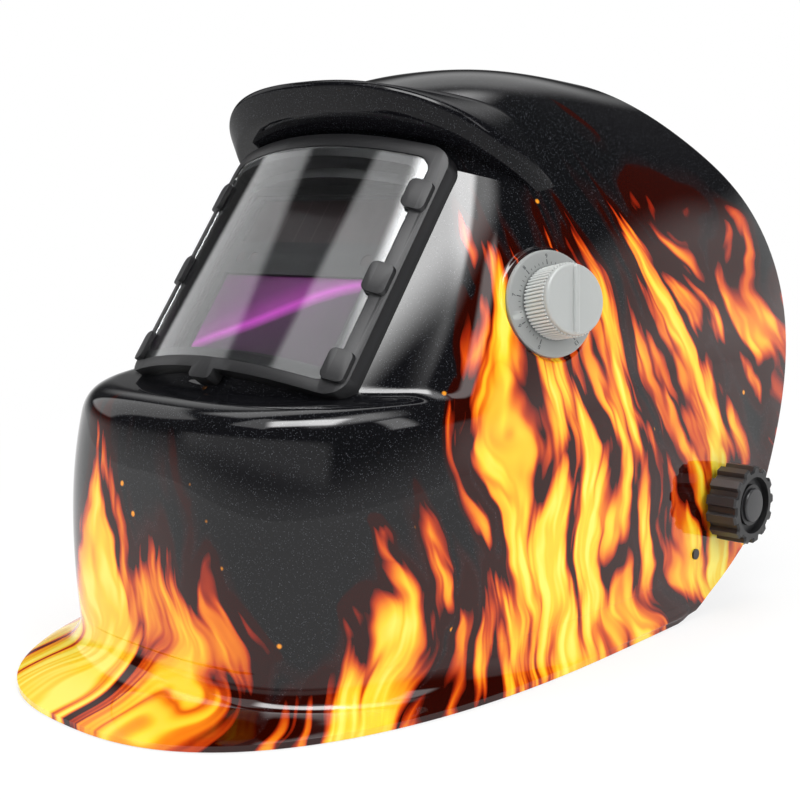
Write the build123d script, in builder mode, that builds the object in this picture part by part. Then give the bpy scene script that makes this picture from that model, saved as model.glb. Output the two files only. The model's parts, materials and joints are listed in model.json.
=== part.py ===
from build123d import *
import math
import os

os.makedirs("parts", exist_ok=True)

# Welding helmet, standing on the rim of its shell.
# X points to the wearer's left, -Y is the front, Z is up and Z = 0 is the plane of the rim.
# All pieces are built about the pivot axis (Y = 0) and are shifted on saving,
# so that the origin ends up under the middle of the helmet.

# ---------------------------------------------------------------- shell
WALL = 2.5                  # moulded wall
HALF_WIDTH = 112.0          # outside, at the pivots
PIVOT_HEIGHT = 46.5         # pivot axis above the rim
SWEEP_Y = 38.0              # axis that the shell's sections turn about
SWEEP_Z = 30.0
SWEEP_CORE = 2.0            # sections start this far from the axis
RIM_CENTRE_Y = -66.0
LIP_REACH = 268.6           # front of the chin lip, from the pivot axis
LEDGE_HEIGHT = 113.0        # flat ledge under the window
FACE_FILLET = 7.0           # round the window face and the ledge

# angle from straight back over the crown, reach at the middle, extra half width, roundness
STATIONS = [
    (60.0, 198.0, 0.5, 2.5),
    (78.0, 200.0, 0.5, 2.5),
    (97.8, 207.0, 0.0, 2.5),
    (110.5, 223.0, 0.0, 2.5),
    (130.3, 252.0, 0.0, 2.6),
    (146.0, 266.0, 0.0, 2.85),
    (162.0, 272.5, 0.3, 3.2),
    (173.0, 270.5, 0.6, 3.35),
    (182.0, 269.5, 0.5, 3.3),
    (192.0, 269.5, 0.3, 3.3),
    (204.0, 269.5, 0.2, 3.3),
    (216.0, 269.5, 0.2, 3.3),
]

# flare of the chin lip: height, front of the outline, its half width
FLARE_LEVELS = [(19.0, 227.0, 107.5), (13.0, 231.5, 109.5), (8.5, 239.0, 111.0), (5.0, 251.0, 112.3), (2.4, 268.6, 113.6)]
FLARE_POWER = 2.5

# side view of the rear edge, from the rim to the crown
REAR_EDGE = [(-36, 0), (0, 12), (24, 25), (41, 50), (61, 90), (72, 138), (61, 178), (38, 204), (0, 243)]

# ---------------------------------------------------------------- window
WINDOW_LEAN = 37.4          # window leans back from upright
WINDOW_Y = -156.0           # middle of the row of clips
WINDOW_Z = 154.6
LENS_RADIUS = 147.0         # outside of the flexed cover lens
LENS_RISE = 12.2            # its middle stands this far above the clips
FACE_RADIUS = 141.5         # shell face behind the frame
OPENING_HALF_WIDTH = 55.0
OPENING_BOTTOM = -44.0
OPENING_TOP = 54.0
FACE_TOP = 66.0             # the window face ends under the brim

# brim over the window: height up the window's slope, reach in front of the clips, half width
BRIM_LEVELS = [(64.5, 20.5, 82.0), (69.5, 32.5, 82.5), (72.5, 32.5, 82.5), (100.0, -9.0, 62.0)]
BRIM_HOLLOW = [(67.2, 19.5, 79.5), (70.0, 27.5, 80.0), (71.5, 27.5, 80.0), (98.0, -10.5, 59.5)]
BRIM_BACK = 45.0            # brim outlines start this far behind the clips
BRIM_POWER = 2.5

# ---------------------------------------------------------------- lens frame
CENTRE = 5.0                # middle of the window above the row of clips
FRAME_WIDTH = 128.0
FRAME_HEIGHT = 111.0
FRAME_CORNER = 9.0
FRAME_RADIUS = 147.6        # outside of the curved frame
FRAME_GAP = 0.4             # round the frame in the shell's recess
FRAME_OPENING_WIDTH = 105.0
FRAME_OPENING_HEIGHT = 92.0
SPIGOT_GAP = 0.2            # frame spigot to the shell's opening
SPIGOT_DEPTH = 4.0
LENS_WIDTH = 114.0
LENS_HEIGHT = 100.0
LENS_THICKNESS = 1.2
LENS_GAP = 0.3              # round the cover lens in its rebate
CLIP_X = 58.6
CLIP_STEP = 38.0
CLIP_WIDTH = 9.0
CLIP_LENGTH = 13.0
CLIP_THICKNESS = 2.1
FIT = 0.1                   # clearance between pieces that seat on each other

# ---------------------------------------------------------------- filter cartridge
FILTER_WIDTH = 110.0
FILTER_HEIGHT = 90.0
FILTER_FRONT = -10.5        # front of the cartridge, behind the row of clips
FILTER_DEPTH = 9.0
FILTER_WALL = 1.5
BACK_COVER = 2.5
VIEW_WIDTH = 94.0
VIEW_HEIGHT = 42.0
VIEW_CENTRE = -14.0
SOLAR_WIDTH = 94.0
SOLAR_HEIGHT = 22.0
SOLAR_CENTRE = 34.0
SENSOR_X = 38.0
SENSOR_Y = 15.0
SENSOR_SPACING = 8.0
SENSOR_RADIUS = 2.6
LCD_THICKNESS = 4.5
BOARD_THICKNESS = 1.6
CELL_RADIUS = 10.0
CELL_THICKNESS = 3.0
SMALL_KNOB_X = 25.0
SMALL_KNOB_Y = 31.0
SMALL_KNOB_RADIUS = 6.5
SMALL_KNOB_HEIGHT = 6.0
HOLDER_WALL = 3.0
HOLDER_GAP = 0.5
HOLDER_BACK = -25.0
LATCH_HALF_WIDTH = 8.0
LATCH_TRAVEL = 7.0

# ---------------------------------------------------------------- shade dial
DIAL_X = 95.0
DIAL_Y = -101.0
DIAL_Z = 142.0
DIAL_TURN = 14.0            # dial faces this far forward of straight sideways
DIAL_TILT = 10.7            # and this far up
DIAL_SEAT = 0.8
DIAL_RADIUS = 21.0
DIAL_THICKNESS = 2.0
SHADE_KNOB_RADIUS = 14.4
SHADE_KNOB_HEIGHT = 14.0
SHADE_KNOB_RIBS = 30
RIB_ROOT = 0.3              # ribs start this far inside the round body of a knob
POT_BUSH_RADIUS = 3.5
POT_SHAFT_RADIUS = 3.0
POT_RADIUS = 8.5
POT_DEPTH = 9.0

# ---------------------------------------------------------------- pivots
PAD_RADIUS = 19.0
PAD_FACE = 113.2            # outside of the pivot pads
INNER_FACE = 108.8          # inside of the shell at the pivots, less a little
STOP_PLATE = 2.4
ARM_THICKNESS = 3.0
BOLT_RADIUS = 4.0
BOLT_GAP = 0.1
TENSION_RADIUS = 17.0
TENSION_HEIGHT = 14.0
TENSION_LOBES = 13
LOBE_WIDTH = 5.0
LOBE_DEPTH = 1.8
PEG_Y = -21.7
PEG_Z = -19.7               # stop peg, below the pivot axis
PEG_RADIUS = 2.3

# ---------------------------------------------------------------- headgear
REST_TILT = 15.0            # headgear leans back this far when the helmet stands on its rim
BAND_Z = 28.0               # middle of the headband above the pivot axis
BAND_HEIGHT = 20.0
BAND_REACH = 95.0
BAND_HALF_WIDTH = 78.0
BAND_FRONT_RADIUS = 62.0    # its plan is three tangent arcs
BAND_THICKNESS = 1.6
SWEATBAND_GAP = 0.4
SWEATBAND_THICKNESS = 7.0
SWEATBAND_HEIGHT = 24.0
SWEATBAND_START = 20.0      # angle on the side arcs where it begins
BAND_END = 22.0             # the front band ends this far behind the pivots
TAIL_THICKNESS = 1.4
TAIL_START = -8.0
REAR_Y = 104.0              # middle of the two tails at the nape
STRAP_WIDTH = 16.0
STRAP_THICKNESS = 1.3
RATCHET_WIDTH = 56.0
RATCHET_HEIGHT = 32.0
RATCHET_KNOB_RADIUS = 17.0
RATCHET_KNOB_HEIGHT = 13.0
RATCHET_KNOB_RIBS = 18
PINION_RADIUS = 5.0         # pitch circle
PINION_TEETH = 10

# origin of the saved helmet, under the middle of its bounding box
REAR_REACH = 129.6
SHIFT = (LIP_REACH - REAR_REACH) / 2


def superellipse(reach, half_width, power, steps=9):
    """Points of half a superellipse, from -X over the reach to +X."""
    points = []
    for step in range(-steps, steps + 1):
        turn = math.radians(90.0 * step / steps)
        across = half_width * math.copysign(abs(math.sin(turn)) ** (2 / power), turn)
        out = reach * abs(math.cos(turn)) ** (2 / power)
        points.append((across, out))
    points[0] = (-half_width, 0.0)
    points[-1] = (half_width, 0.0)
    return points


def oval_side_radius(half_width, reach, end_radius):
    """Radius of the side arcs of an oval that ends in an arc of the end radius."""
    straight = reach - end_radius
    return (straight**2 + half_width**2 - end_radius**2) / (2 * (half_width - end_radius))


def oval(half_width, reach, end_radius, grow=0.0, start=0.0):
    """Half an oval as three tangent arcs, from +X over the reach to -X; start is left off both ends."""
    side_radius = oval_side_radius(half_width, reach, end_radius)
    beyond = side_radius - half_width
    meet = math.degrees(math.atan2(reach - end_radius, beyond))
    first = CenterArc((-beyond, 0), side_radius + grow, start, meet - start)
    CenterArc((0, reach - end_radius), end_radius + grow, meet, 180 - 2 * meet)
    last = CenterArc((beyond, 0), side_radius + grow, 180 - meet, meet - start)
    return first @ 0, last @ 1


def sweep_plane(angle):
    """Plane through the sweep axis; its local Y points away from the axis."""
    turn = math.radians(angle)
    return Plane(
        origin=(0, SWEEP_Y, SWEEP_Z),
        x_dir=(1, 0, 0),
        z_dir=(0, -math.sin(turn), math.cos(turn)),
    )


def inset_station(index, inset):
    """A station moved inwards, square to the side profile of the shell."""
    angle, reach, wider, power = STATIONS[index]
    before = STATIONS[max(index - 1, 0)]
    after = STATIONS[min(index + 1, len(STATIONS) - 1)]
    slope = (after[1] - before[1]) / math.radians(after[0] - before[0]) / reach
    lean = math.atan(slope)
    moved = angle + math.degrees(inset * math.sin(lean) / reach)
    return moved, reach - inset * math.cos(lean), HALF_WIDTH + wider - inset, power


def swept_body(inset):
    """The shell's body without its cut-outs, moved inwards by the inset."""
    with BuildPart() as body:
        sections = []
        for index in range(len(STATIONS)):
            angle, reach, half_width, power = inset_station(index, inset)
            with BuildSketch(sweep_plane(angle)) as section:
                with BuildLine():
                    half = superellipse(reach - SWEEP_CORE, half_width, power)
                    curve = [(across, out + SWEEP_CORE) for across, out in half]
                    Spline(curve, tangents=[(0, 1), (0, -1)])
                    Line(curve[-1], curve[0])
                make_face()
            sections.append(section.sketch.faces()[0])
        loft(sections)
    return body.part


def rim_outline(front, half_width):
    """Plan of the shell at one height, from the front back to the rear of the sides."""
    half = superellipse(front + RIM_CENTRE_Y, half_width, FLARE_POWER)
    return [(across, RIM_CENTRE_Y - out) for across, out in half]


def flare(inset):
    """The lip that spreads out below the chin; inset gives the room under it."""
    with BuildPart() as lip:
        outlines = []
        for height, front, half_width in FLARE_LEVELS:
            with BuildSketch(Plane.XY.offset(height - inset)) as outline:
                with BuildLine():
                    curve = rim_outline(front, half_width - inset)
                    Spline(curve, tangents=[(0, -1), (0, 1)])
                    Line(curve[-1], curve[0])
                make_face()
            outlines.append(outline.sketch.faces()[0])
        loft(outlines)
        # upright edge below the flare
        extrude(outlines[-1], amount=-20 if inset > 0 else -FLARE_LEVELS[-1][0], dir=(0, 0, 1))
    return lip.part


# ---------------------------------------------------------------- planes
LEAN = math.radians(WINDOW_LEAN)
WINDOW = Plane(
    origin=(0, WINDOW_Y, WINDOW_Z),
    x_dir=(1, 0, 0),
    z_dir=(0, -math.cos(LEAN), math.sin(LEAN)),
)
# local Y of this plane points into the helmet, its Z up the slope of the window
ACROSS = Plane(
    origin=(0, WINDOW_Y, WINDOW_Z),
    x_dir=(1, 0, 0),
    z_dir=(0, math.sin(LEAN), math.cos(LEAN)),
)
CURVE_CENTRE = LENS_RADIUS - LENS_RISE

TURN = math.radians(DIAL_TURN)
TILT = math.radians(DIAL_TILT)
DIAL = Plane(
    origin=(DIAL_X, DIAL_Y, DIAL_Z),
    x_dir=(math.sin(TURN), math.cos(TURN), 0),
    z_dir=(math.cos(TURN) * math.cos(TILT), -math.sin(TURN) * math.cos(TILT), math.sin(TILT)),
)

# local X of this plane points back, its Y up and its Z to the wearer's left
PIVOT = Plane(origin=(0, 0, PIVOT_HEIGHT), x_dir=(0, 1, 0), z_dir=(1, 0, 0))

HEAD_PLACE = Location((0, 0, PIVOT_HEIGHT), (-REST_TILT, 0, 0))


def finish(part, node, place=Location()):
    """Shift a finished piece to the helmet's origin and write it."""
    done = part.moved(Location((0, SHIFT, 0)) * place)
    done.label = node
    export_step(done, f"parts/{node}.step")


def curved_slab(outside, inside, width, height, corner, x=0.0, up=CENTRE):
    """A rounded rectangle of the curved window, between two radii."""
    with BuildPart() as slab:
        with BuildSketch(WINDOW.offset(-45)):
            with Locations((x, up)):
                if corner:
                    RectangleRounded(width, height, corner)
                else:
                    Rectangle(width, height)
        extrude(amount=90)
        with BuildSketch(ACROSS.offset(up - height)):
            with Locations((0, CURVE_CENTRE)):
                Circle(outside)
                Circle(inside, mode=Mode.SUBTRACT)
        extrude(amount=2 * height, mode=Mode.INTERSECT)
    return slab.part


# ---------------------------------------------------------------- shell
def window_cutter(inset):
    """Everything in front of the window face and above the ledge."""
    with BuildPart() as cutter:
        with BuildSketch(ACROSS.offset(-120)):
            with Locations((0, CURVE_CENTRE)):
                Rectangle(340, 400, align=(Align.CENTER, Align.MAX))
                Circle(FACE_RADIUS - inset, mode=Mode.SUBTRACT)
        extrude(amount=120 + FACE_TOP + inset)
        with BuildSketch(Plane.XY.offset(LEDGE_HEIGHT - inset)):
            Rectangle(700, 900)
        extrude(amount=400, mode=Mode.INTERSECT)
    return cutter.part


def brim(levels):
    """The brim as straight-sided stretches between its outlines."""
    with BuildPart() as visor:
        outlines = []
        for up, reach, half_width in levels:
            with BuildSketch(ACROSS.offset(up)) as outline:
                with BuildLine():
                    half = superellipse(reach + BRIM_BACK, half_width, BRIM_POWER)
                    curve = [(across, BRIM_BACK - out) for across, out in half]
                    Spline(curve, tangents=[(0, -1), (0, 1)])
                    Line(curve[-1], curve[0])
                make_face()
            outlines.append(outline.sketch.faces()[0])
        loft(outlines, ruled=True)
    return visor.part


with BuildPart() as shell:
    add(swept_body(0.0))
    with BuildSketch(Plane.XY):
        Rectangle(600, 900)
    extrude(amount=-300, mode=Mode.SUBTRACT)
    add(flare(0.0))
    add(window_cutter(0.0), mode=Mode.SUBTRACT)
    cheeks = shell.edges().filter_by(lambda e: abs(e.center().X) > 80 and 140 < e.center().Z < 175)
    cheeks = cheeks.filter_by(lambda e: e.center().Y < -110)
    ledge = shell.edges().filter_by(lambda e: abs(e.center().Z - LEDGE_HEIGHT) < 0.5)
    fillet(cheeks + ledge, FACE_FILLET)
    # room for the lens frame, which seats a little into the ledge
    recess_width = FRAME_WIDTH + 4 * FRAME_GAP
    recess_height = FRAME_HEIGHT + 4 * FRAME_GAP
    recess_radius = FACE_RADIUS + FIT / 2
    add(
        curved_slab(LENS_RADIUS + 25, recess_radius, recess_width, recess_height, FRAME_CORNER),
        mode=Mode.SUBTRACT,
    )
    add(
        curved_slab(LENS_RADIUS + 25, recess_radius, 15, 12, 2, 0, CENTRE - FRAME_HEIGHT / 2),
        mode=Mode.SUBTRACT,
    )
    add(brim(BRIM_LEVELS))
    # hollow inside
    with BuildPart(mode=Mode.PRIVATE) as hollow:
        add(swept_body(WALL))
        add(flare(WALL))
        add(window_cutter(WALL), mode=Mode.SUBTRACT)
        add(brim(BRIM_HOLLOW))
    add(hollow.part, mode=Mode.SUBTRACT)
    # rear edge, from the rim up to the crown
    with BuildSketch(Plane.YZ):
        with BuildLine():
            rear = Spline(REAR_EDGE, tangents=[(1, 0.15), (-0.7, 1)])
            Polyline(rear @ 1, (-25, 300), (200, 300), (200, -60), (REAR_EDGE[0][0], -60), rear @ 0)
        make_face()
    extrude(amount=200, both=True, mode=Mode.SUBTRACT)
    # window, pivot holes with their pads, stop holes and the seat of the shade dial
    with BuildSketch(WINDOW.offset(-40)):
        with Locations((0, (OPENING_TOP + OPENING_BOTTOM) / 2)):
            RectangleRounded(2 * OPENING_HALF_WIDTH, OPENING_TOP - OPENING_BOTTOM, 4)
    extrude(amount=80, mode=Mode.SUBTRACT)
    for side in (-1, 1):
        with BuildSketch(PIVOT.offset(side * (INNER_FACE + FIT))):
            Circle(PAD_RADIUS)
        extrude(amount=side * (PAD_FACE - INNER_FACE - FIT))
        with BuildSketch(PIVOT.offset(side * (INNER_FACE - 5))):
            Circle(BOLT_RADIUS + 2 * BOLT_GAP)
            with Locations((PEG_Y, PEG_Z)):
                Circle(PEG_RADIUS + 2 * BOLT_GAP)
        extrude(amount=side * 20, mode=Mode.SUBTRACT)
    with BuildSketch(DIAL.offset(-4.5)):
        Circle(DIAL_RADIUS + 1.5)
    extrude(amount=4.5 + DIAL_SEAT)
    with BuildSketch(DIAL.offset(DIAL_SEAT)):
        Circle(DIAL_RADIUS + 0.6)
    extrude(amount=10, mode=Mode.SUBTRACT)
    with BuildSketch(DIAL.offset(-10)):
        Circle(POT_BUSH_RADIUS + BOLT_GAP)
    extrude(amount=20, mode=Mode.SUBTRACT)
finish(shell.part, "shell")


# ---------------------------------------------------------------- cover lens and its frame
with BuildPart() as lens_frame:
    add(curved_slab(FRAME_RADIUS, FACE_RADIUS + FIT, FRAME_WIDTH, FRAME_HEIGHT, FRAME_CORNER, up=CENTRE + 0.5))
    spigot_width = 2 * (OPENING_HALF_WIDTH - SPIGOT_GAP)
    spigot_height = OPENING_TOP - OPENING_BOTTOM - 2 * SPIGOT_GAP
    add(curved_slab(FACE_RADIUS + FIT, FACE_RADIUS - SPIGOT_DEPTH, spigot_width, spigot_height, 4))
    with BuildSketch(WINDOW.offset(-40)):
        with Locations((0, CENTRE)):
            RectangleRounded(FRAME_OPENING_WIDTH, FRAME_OPENING_HEIGHT, 5)
    extrude(amount=80, mode=Mode.SUBTRACT)
    rebate = LENS_RADIUS - LENS_THICKNESS
    add(
        curved_slab(LENS_RADIUS + 20, rebate, LENS_WIDTH + 2 * LENS_GAP, LENS_HEIGHT + 2 * LENS_GAP, 6),
        mode=Mode.SUBTRACT,
    )
    clip_inside = LENS_RADIUS + 2 * FIT
    for x in (-CLIP_X, CLIP_X):
        for up in (-CLIP_STEP, 0, CLIP_STEP):
            add(curved_slab(clip_inside + CLIP_THICKNESS, clip_inside, CLIP_WIDTH, CLIP_LENGTH, 0, x, up))
    # finger tab below the frame
    add(curved_slab(FRAME_RADIUS, FACE_RADIUS + FIT, 13, 8, 2.5, 0, CENTRE - FRAME_HEIGHT / 2))
finish(lens_frame.part, "lens_frame")

cover_lens = curved_slab(LENS_RADIUS + FIT, LENS_RADIUS + FIT - LENS_THICKNESS, LENS_WIDTH, LENS_HEIGHT, 6)
finish(cover_lens, "cover_lens")

# ---------------------------------------------------------------- filter holder
FLANGE_OUTSIDE = FACE_RADIUS - WALL - FIT
FLANGE_INSIDE = FLANGE_OUTSIDE - 2.0
CAVITY_WIDTH = FILTER_WIDTH + 2 * HOLDER_GAP
CAVITY_HEIGHT = FILTER_HEIGHT + 2 * HOLDER_GAP
FILTER_BACK = FILTER_FRONT - FILTER_DEPTH - BACK_COVER
CAVITY_BOTTOM = CENTRE - CAVITY_HEIGHT / 2
CAVITY_TOP = CENTRE + CAVITY_HEIGHT / 2
LIP_THICKNESS = 2.0

with BuildPart() as filter_holder:
    with BuildSketch(WINDOW.offset(HOLDER_BACK)):
        with Locations((0, CENTRE)):
            RectangleRounded(CAVITY_WIDTH + 2 * HOLDER_WALL, CAVITY_HEIGHT + 2 * HOLDER_WALL, 4)
            Rectangle(CAVITY_WIDTH, CAVITY_HEIGHT, mode=Mode.SUBTRACT)
        # guide ribs of the latch
        for side in (-1, 1):
            with Locations((side * (LATCH_HALF_WIDTH + 1.6), CAVITY_BOTTOM - HOLDER_WALL)):
                Rectangle(2.4, 9, align=(Align.CENTER, Align.MAX))
    extrude(amount=60)
    # the cartridge seats on a lip
    with BuildSketch(WINDOW.offset(FILTER_FRONT + FIT)):
        with Locations((0, CENTRE)):
            Rectangle(CAVITY_WIDTH + 1, CAVITY_HEIGHT + 1)
            Rectangle(CAVITY_WIDTH - 8, CAVITY_HEIGHT - 8, mode=Mode.SUBTRACT)
    extrude(amount=1.2)
    with BuildSketch(ACROSS.offset(-90)):
        with Locations((0, CURVE_CENTRE)):
            Circle(FACE_RADIUS - SPIGOT_DEPTH - FIT)
    extrude(amount=200, mode=Mode.INTERSECT)
    add(curved_slab(FLANGE_OUTSIDE, FLANGE_INSIDE, 128, 114, 8))
    add(
        curved_slab(
            FLANGE_OUTSIDE + 5,
            FACE_RADIUS - SPIGOT_DEPTH - FIT,
            2 * OPENING_HALF_WIDTH + SPIGOT_GAP,
            OPENING_TOP - OPENING_BOTTOM + SPIGOT_GAP,
            4,
        ),
        mode=Mode.SUBTRACT,
    )
    with BuildSketch(WINDOW.offset(FILTER_FRONT + 2)):
        with Locations((0, CENTRE)):
            Rectangle(CAVITY_WIDTH - 8, CAVITY_HEIGHT - 8)
    extrude(amount=30, mode=Mode.SUBTRACT)
    # notch for the latch, and fixed hooks at the top
    with BuildSketch(WINDOW.offset(HOLDER_BACK - 1)):
        with Locations((0, CAVITY_BOTTOM - HOLDER_WALL - 1)):
            Rectangle(2 * LATCH_HALF_WIDTH + 0.6, HOLDER_WALL + 2, align=(Align.CENTER, Align.MIN))
    extrude(amount=FILTER_BACK - HOLDER_BACK + 1.5, mode=Mode.SUBTRACT)
    with BuildSketch(WINDOW.offset(FILTER_BACK - FIT - LIP_THICKNESS)):
        for x in (-35, 35):
            with Locations((x, CAVITY_TOP - 3)):
                Rectangle(10, HOLDER_WALL + 3, align=(Align.CENTER, Align.MIN))
    extrude(amount=LIP_THICKNESS)
finish(filter_holder.part, "filter_holder")

with BuildPart() as filter_latch:
    lip_back = FILTER_BACK - FIT - LIP_THICKNESS
    with BuildSketch(WINDOW.offset(lip_back)):
        with Locations((0, CAVITY_BOTTOM + 4)):
            Rectangle(2 * LATCH_HALF_WIDTH, HOLDER_WALL + 12, align=(Align.CENTER, Align.MAX))
    extrude(amount=LIP_THICKNESS)
    # leg that runs between the guide ribs, and the thumb ridge
    with BuildSketch(WINDOW.offset(lip_back)):
        with Locations((0, CAVITY_BOTTOM - HOLDER_WALL - 2 * FIT)):
            Rectangle(2 * LATCH_HALF_WIDTH, 2, align=(Align.CENTER, Align.MAX))
    extrude(amount=9)
    with BuildSketch(WINDOW.offset(lip_back - 2)):
        with Locations((0, CAVITY_BOTTOM - HOLDER_WALL - 6)):
            RectangleRounded(2 * LATCH_HALF_WIDTH - 2, 3, 1)
    extrude(amount=2.5)
finish(filter_latch.part, "filter_latch")

# ---------------------------------------------------------------- auto-darkening cartridge
HOUSING_BACK = FILTER_FRONT - FILTER_DEPTH

with BuildPart() as filter_housing:
    with BuildSketch(WINDOW.offset(HOUSING_BACK)):
        with Locations((0, CENTRE)):
            RectangleRounded(FILTER_WIDTH, FILTER_HEIGHT, 3)
    extrude(amount=FILTER_DEPTH)
    with BuildSketch(WINDOW.offset(HOUSING_BACK)):
        with Locations((0, CENTRE)):
            RectangleRounded(FILTER_WIDTH - 4, FILTER_HEIGHT - 4, 2)
    extrude(amount=FILTER_DEPTH - FILTER_WALL, mode=Mode.SUBTRACT)
    with BuildSketch(WINDOW.offset(HOUSING_BACK)):
        with Locations((0, VIEW_CENTRE)):
            Rectangle(VIEW_WIDTH, VIEW_HEIGHT)
        with Locations((0, SOLAR_CENTRE)):
            Rectangle(SOLAR_WIDTH, SOLAR_HEIGHT)
        for side in (-1, 1):
            with Locations((side * SENSOR_X, SENSOR_Y)):
                with GridLocations(SENSOR_SPACING, 1, 2, 1):
                    Circle(SENSOR_RADIUS + FIT)
    extrude(amount=FILTER_DEPTH + 1, mode=Mode.SUBTRACT)
finish(filter_housing.part, "filter_housing")

GLASS_FRONT = FILTER_FRONT - FILTER_WALL - FIT
with BuildPart() as lcd_glass:
    with BuildSketch(WINDOW.offset(GLASS_FRONT - LCD_THICKNESS)):
        with Locations((0, VIEW_CENTRE)):
            Rectangle(VIEW_WIDTH + 6, VIEW_HEIGHT + 6)
    extrude(amount=LCD_THICKNESS)
finish(lcd_glass.part, "lcd_filter_glass")

with BuildPart() as solar_cell:
    with BuildSketch(WINDOW.offset(GLASS_FRONT - 1.2)):
        with Locations((0, SOLAR_CENTRE)):
            Rectangle(SOLAR_WIDTH + 4, SOLAR_HEIGHT + 2)
    extrude(amount=1.2)
finish(solar_cell.part, "solar_cell")

BOARD_FRONT = GLASS_FRONT - 2.2
with BuildPart() as circuit_board:
    board_bottom = VIEW_CENTRE + VIEW_HEIGHT / 2 + 3.5
    board_top = CENTRE + FILTER_HEIGHT / 2 - 2.5
    with BuildSketch(WINDOW.offset(BOARD_FRONT - BOARD_THICKNESS)):
        with Locations((0, board_bottom)):
            Rectangle(FILTER_WIDTH - 7, board_top - board_bottom, align=(Align.CENTER, Align.MIN))
    extrude(amount=BOARD_THICKNESS)
finish(circuit_board.part, "circuit_board")

with BuildPart() as arc_sensors:
    with BuildSketch(WINDOW.offset(BOARD_FRONT)):
        for side in (-1, 1):
            with Locations((side * SENSOR_X, SENSOR_Y)):
                with GridLocations(SENSOR_SPACING, 1, 2, 1):
                    Circle(SENSOR_RADIUS)
    extrude(amount=FILTER_FRONT - BOARD_FRONT - 0.3)
finish(arc_sensors.part, "arc_sensors")

with BuildPart() as battery_cells:
    with BuildSketch(WINDOW.offset(BOARD_FRONT - BOARD_THICKNESS)):
        with Locations((0, SMALL_KNOB_Y)):
            Circle(CELL_RADIUS)
    extrude(amount=-CELL_THICKNESS)
finish(battery_cells.part, "battery_cell")

with BuildPart() as back_cover:
    with BuildSketch(WINDOW.offset(HOUSING_BACK)):
        with Locations((0, CENTRE)):
            RectangleRounded(FILTER_WIDTH, FILTER_HEIGHT, 3)
        with Locations((0, VIEW_CENTRE)):
            Rectangle(VIEW_WIDTH, VIEW_HEIGHT, mode=Mode.SUBTRACT)
        for side in (-1, 1):
            with Locations((side * SMALL_KNOB_X, SMALL_KNOB_Y)):
                Circle(2.1, mode=Mode.SUBTRACT)
    extrude(amount=-BACK_COVER)
    # rails of the inner cover lens
    with BuildSketch(WINDOW.offset(FILTER_BACK)):
        with Locations((0, VIEW_CENTRE + VIEW_HEIGHT / 2 + 5.6)):
            Rectangle(104, 2)
    extrude(amount=-2)
finish(back_cover.part, "filter_back_cover")

with BuildPart() as inner_lens:
    with BuildSketch(WINDOW.offset(FILTER_BACK - 0.05)):
        with Locations((0, CAVITY_BOTTOM + 5)):
            Rectangle(104, VIEW_HEIGHT + 4, align=(Align.CENTER, Align.MIN))
    extrude(amount=-1)
finish(inner_lens.part, "inner_cover_lens")

KNOB_BACK = FILTER_BACK - 0.3 - SMALL_KNOB_HEIGHT
SHAFT_FRONT = BOARD_FRONT - BOARD_THICKNESS - 0.2
for node, side in (("sensitivity_knob", -1), ("delay_knob", 1)):
    with BuildPart() as small_knob:
        with BuildSketch(WINDOW.offset(KNOB_BACK)):
            with Locations((side * SMALL_KNOB_X, SMALL_KNOB_Y)):
                Circle(SMALL_KNOB_RADIUS)
        extrude(amount=SMALL_KNOB_HEIGHT)
        with BuildSketch(WINDOW.offset(KNOB_BACK)):
            with Locations((side * SMALL_KNOB_X, SMALL_KNOB_Y)):
                Circle(2.0)
        extrude(amount=SHAFT_FRONT - KNOB_BACK)
        # screwdriver slot
        with BuildSketch(WINDOW.offset(KNOB_BACK)):
            with Locations((side * SMALL_KNOB_X, SMALL_KNOB_Y)):
                Rectangle(2 * SMALL_KNOB_RADIUS + 1, 1.4)
        extrude(amount=1.2, mode=Mode.SUBTRACT)
    finish(small_knob.part, node)

# ---------------------------------------------------------------- shade dial on the left side
DIAL_BACK = DIAL_SEAT + FIT
DIAL_FACE = DIAL_BACK + DIAL_THICKNESS
NUT_HEIGHT = 2.0

with BuildPart() as dial_plate:
    with BuildSketch(DIAL.offset(DIAL_BACK)):
        Circle(DIAL_RADIUS)
        Circle(POT_BUSH_RADIUS + FIT, mode=Mode.SUBTRACT)
    extrude(amount=DIAL_THICKNESS)
    chamfer(dial_plate.faces().sort_by(Axis(DIAL.origin, DIAL.z_dir))[-1].outer_wire().edges(), 0.8)
    # marks of the scale
    with BuildSketch(DIAL.offset(DIAL_FACE - 0.3)):
        with PolarLocations(DIAL_RADIUS - 3.4, 11, start_angle=-60, angular_range=300):
            Rectangle(2.4, 0.7)
    extrude(amount=1, mode=Mode.SUBTRACT)
finish(dial_plate.part, "shade_dial_plate")

with BuildPart() as shade_nut:
    with BuildSketch(DIAL.offset(DIAL_FACE + FIT)):
        RegularPolygon(5.2, 6)
        Circle(POT_BUSH_RADIUS + 0.05, mode=Mode.SUBTRACT)
    extrude(amount=NUT_HEIGHT)
finish(shade_nut.part, "shade_nut")

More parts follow.
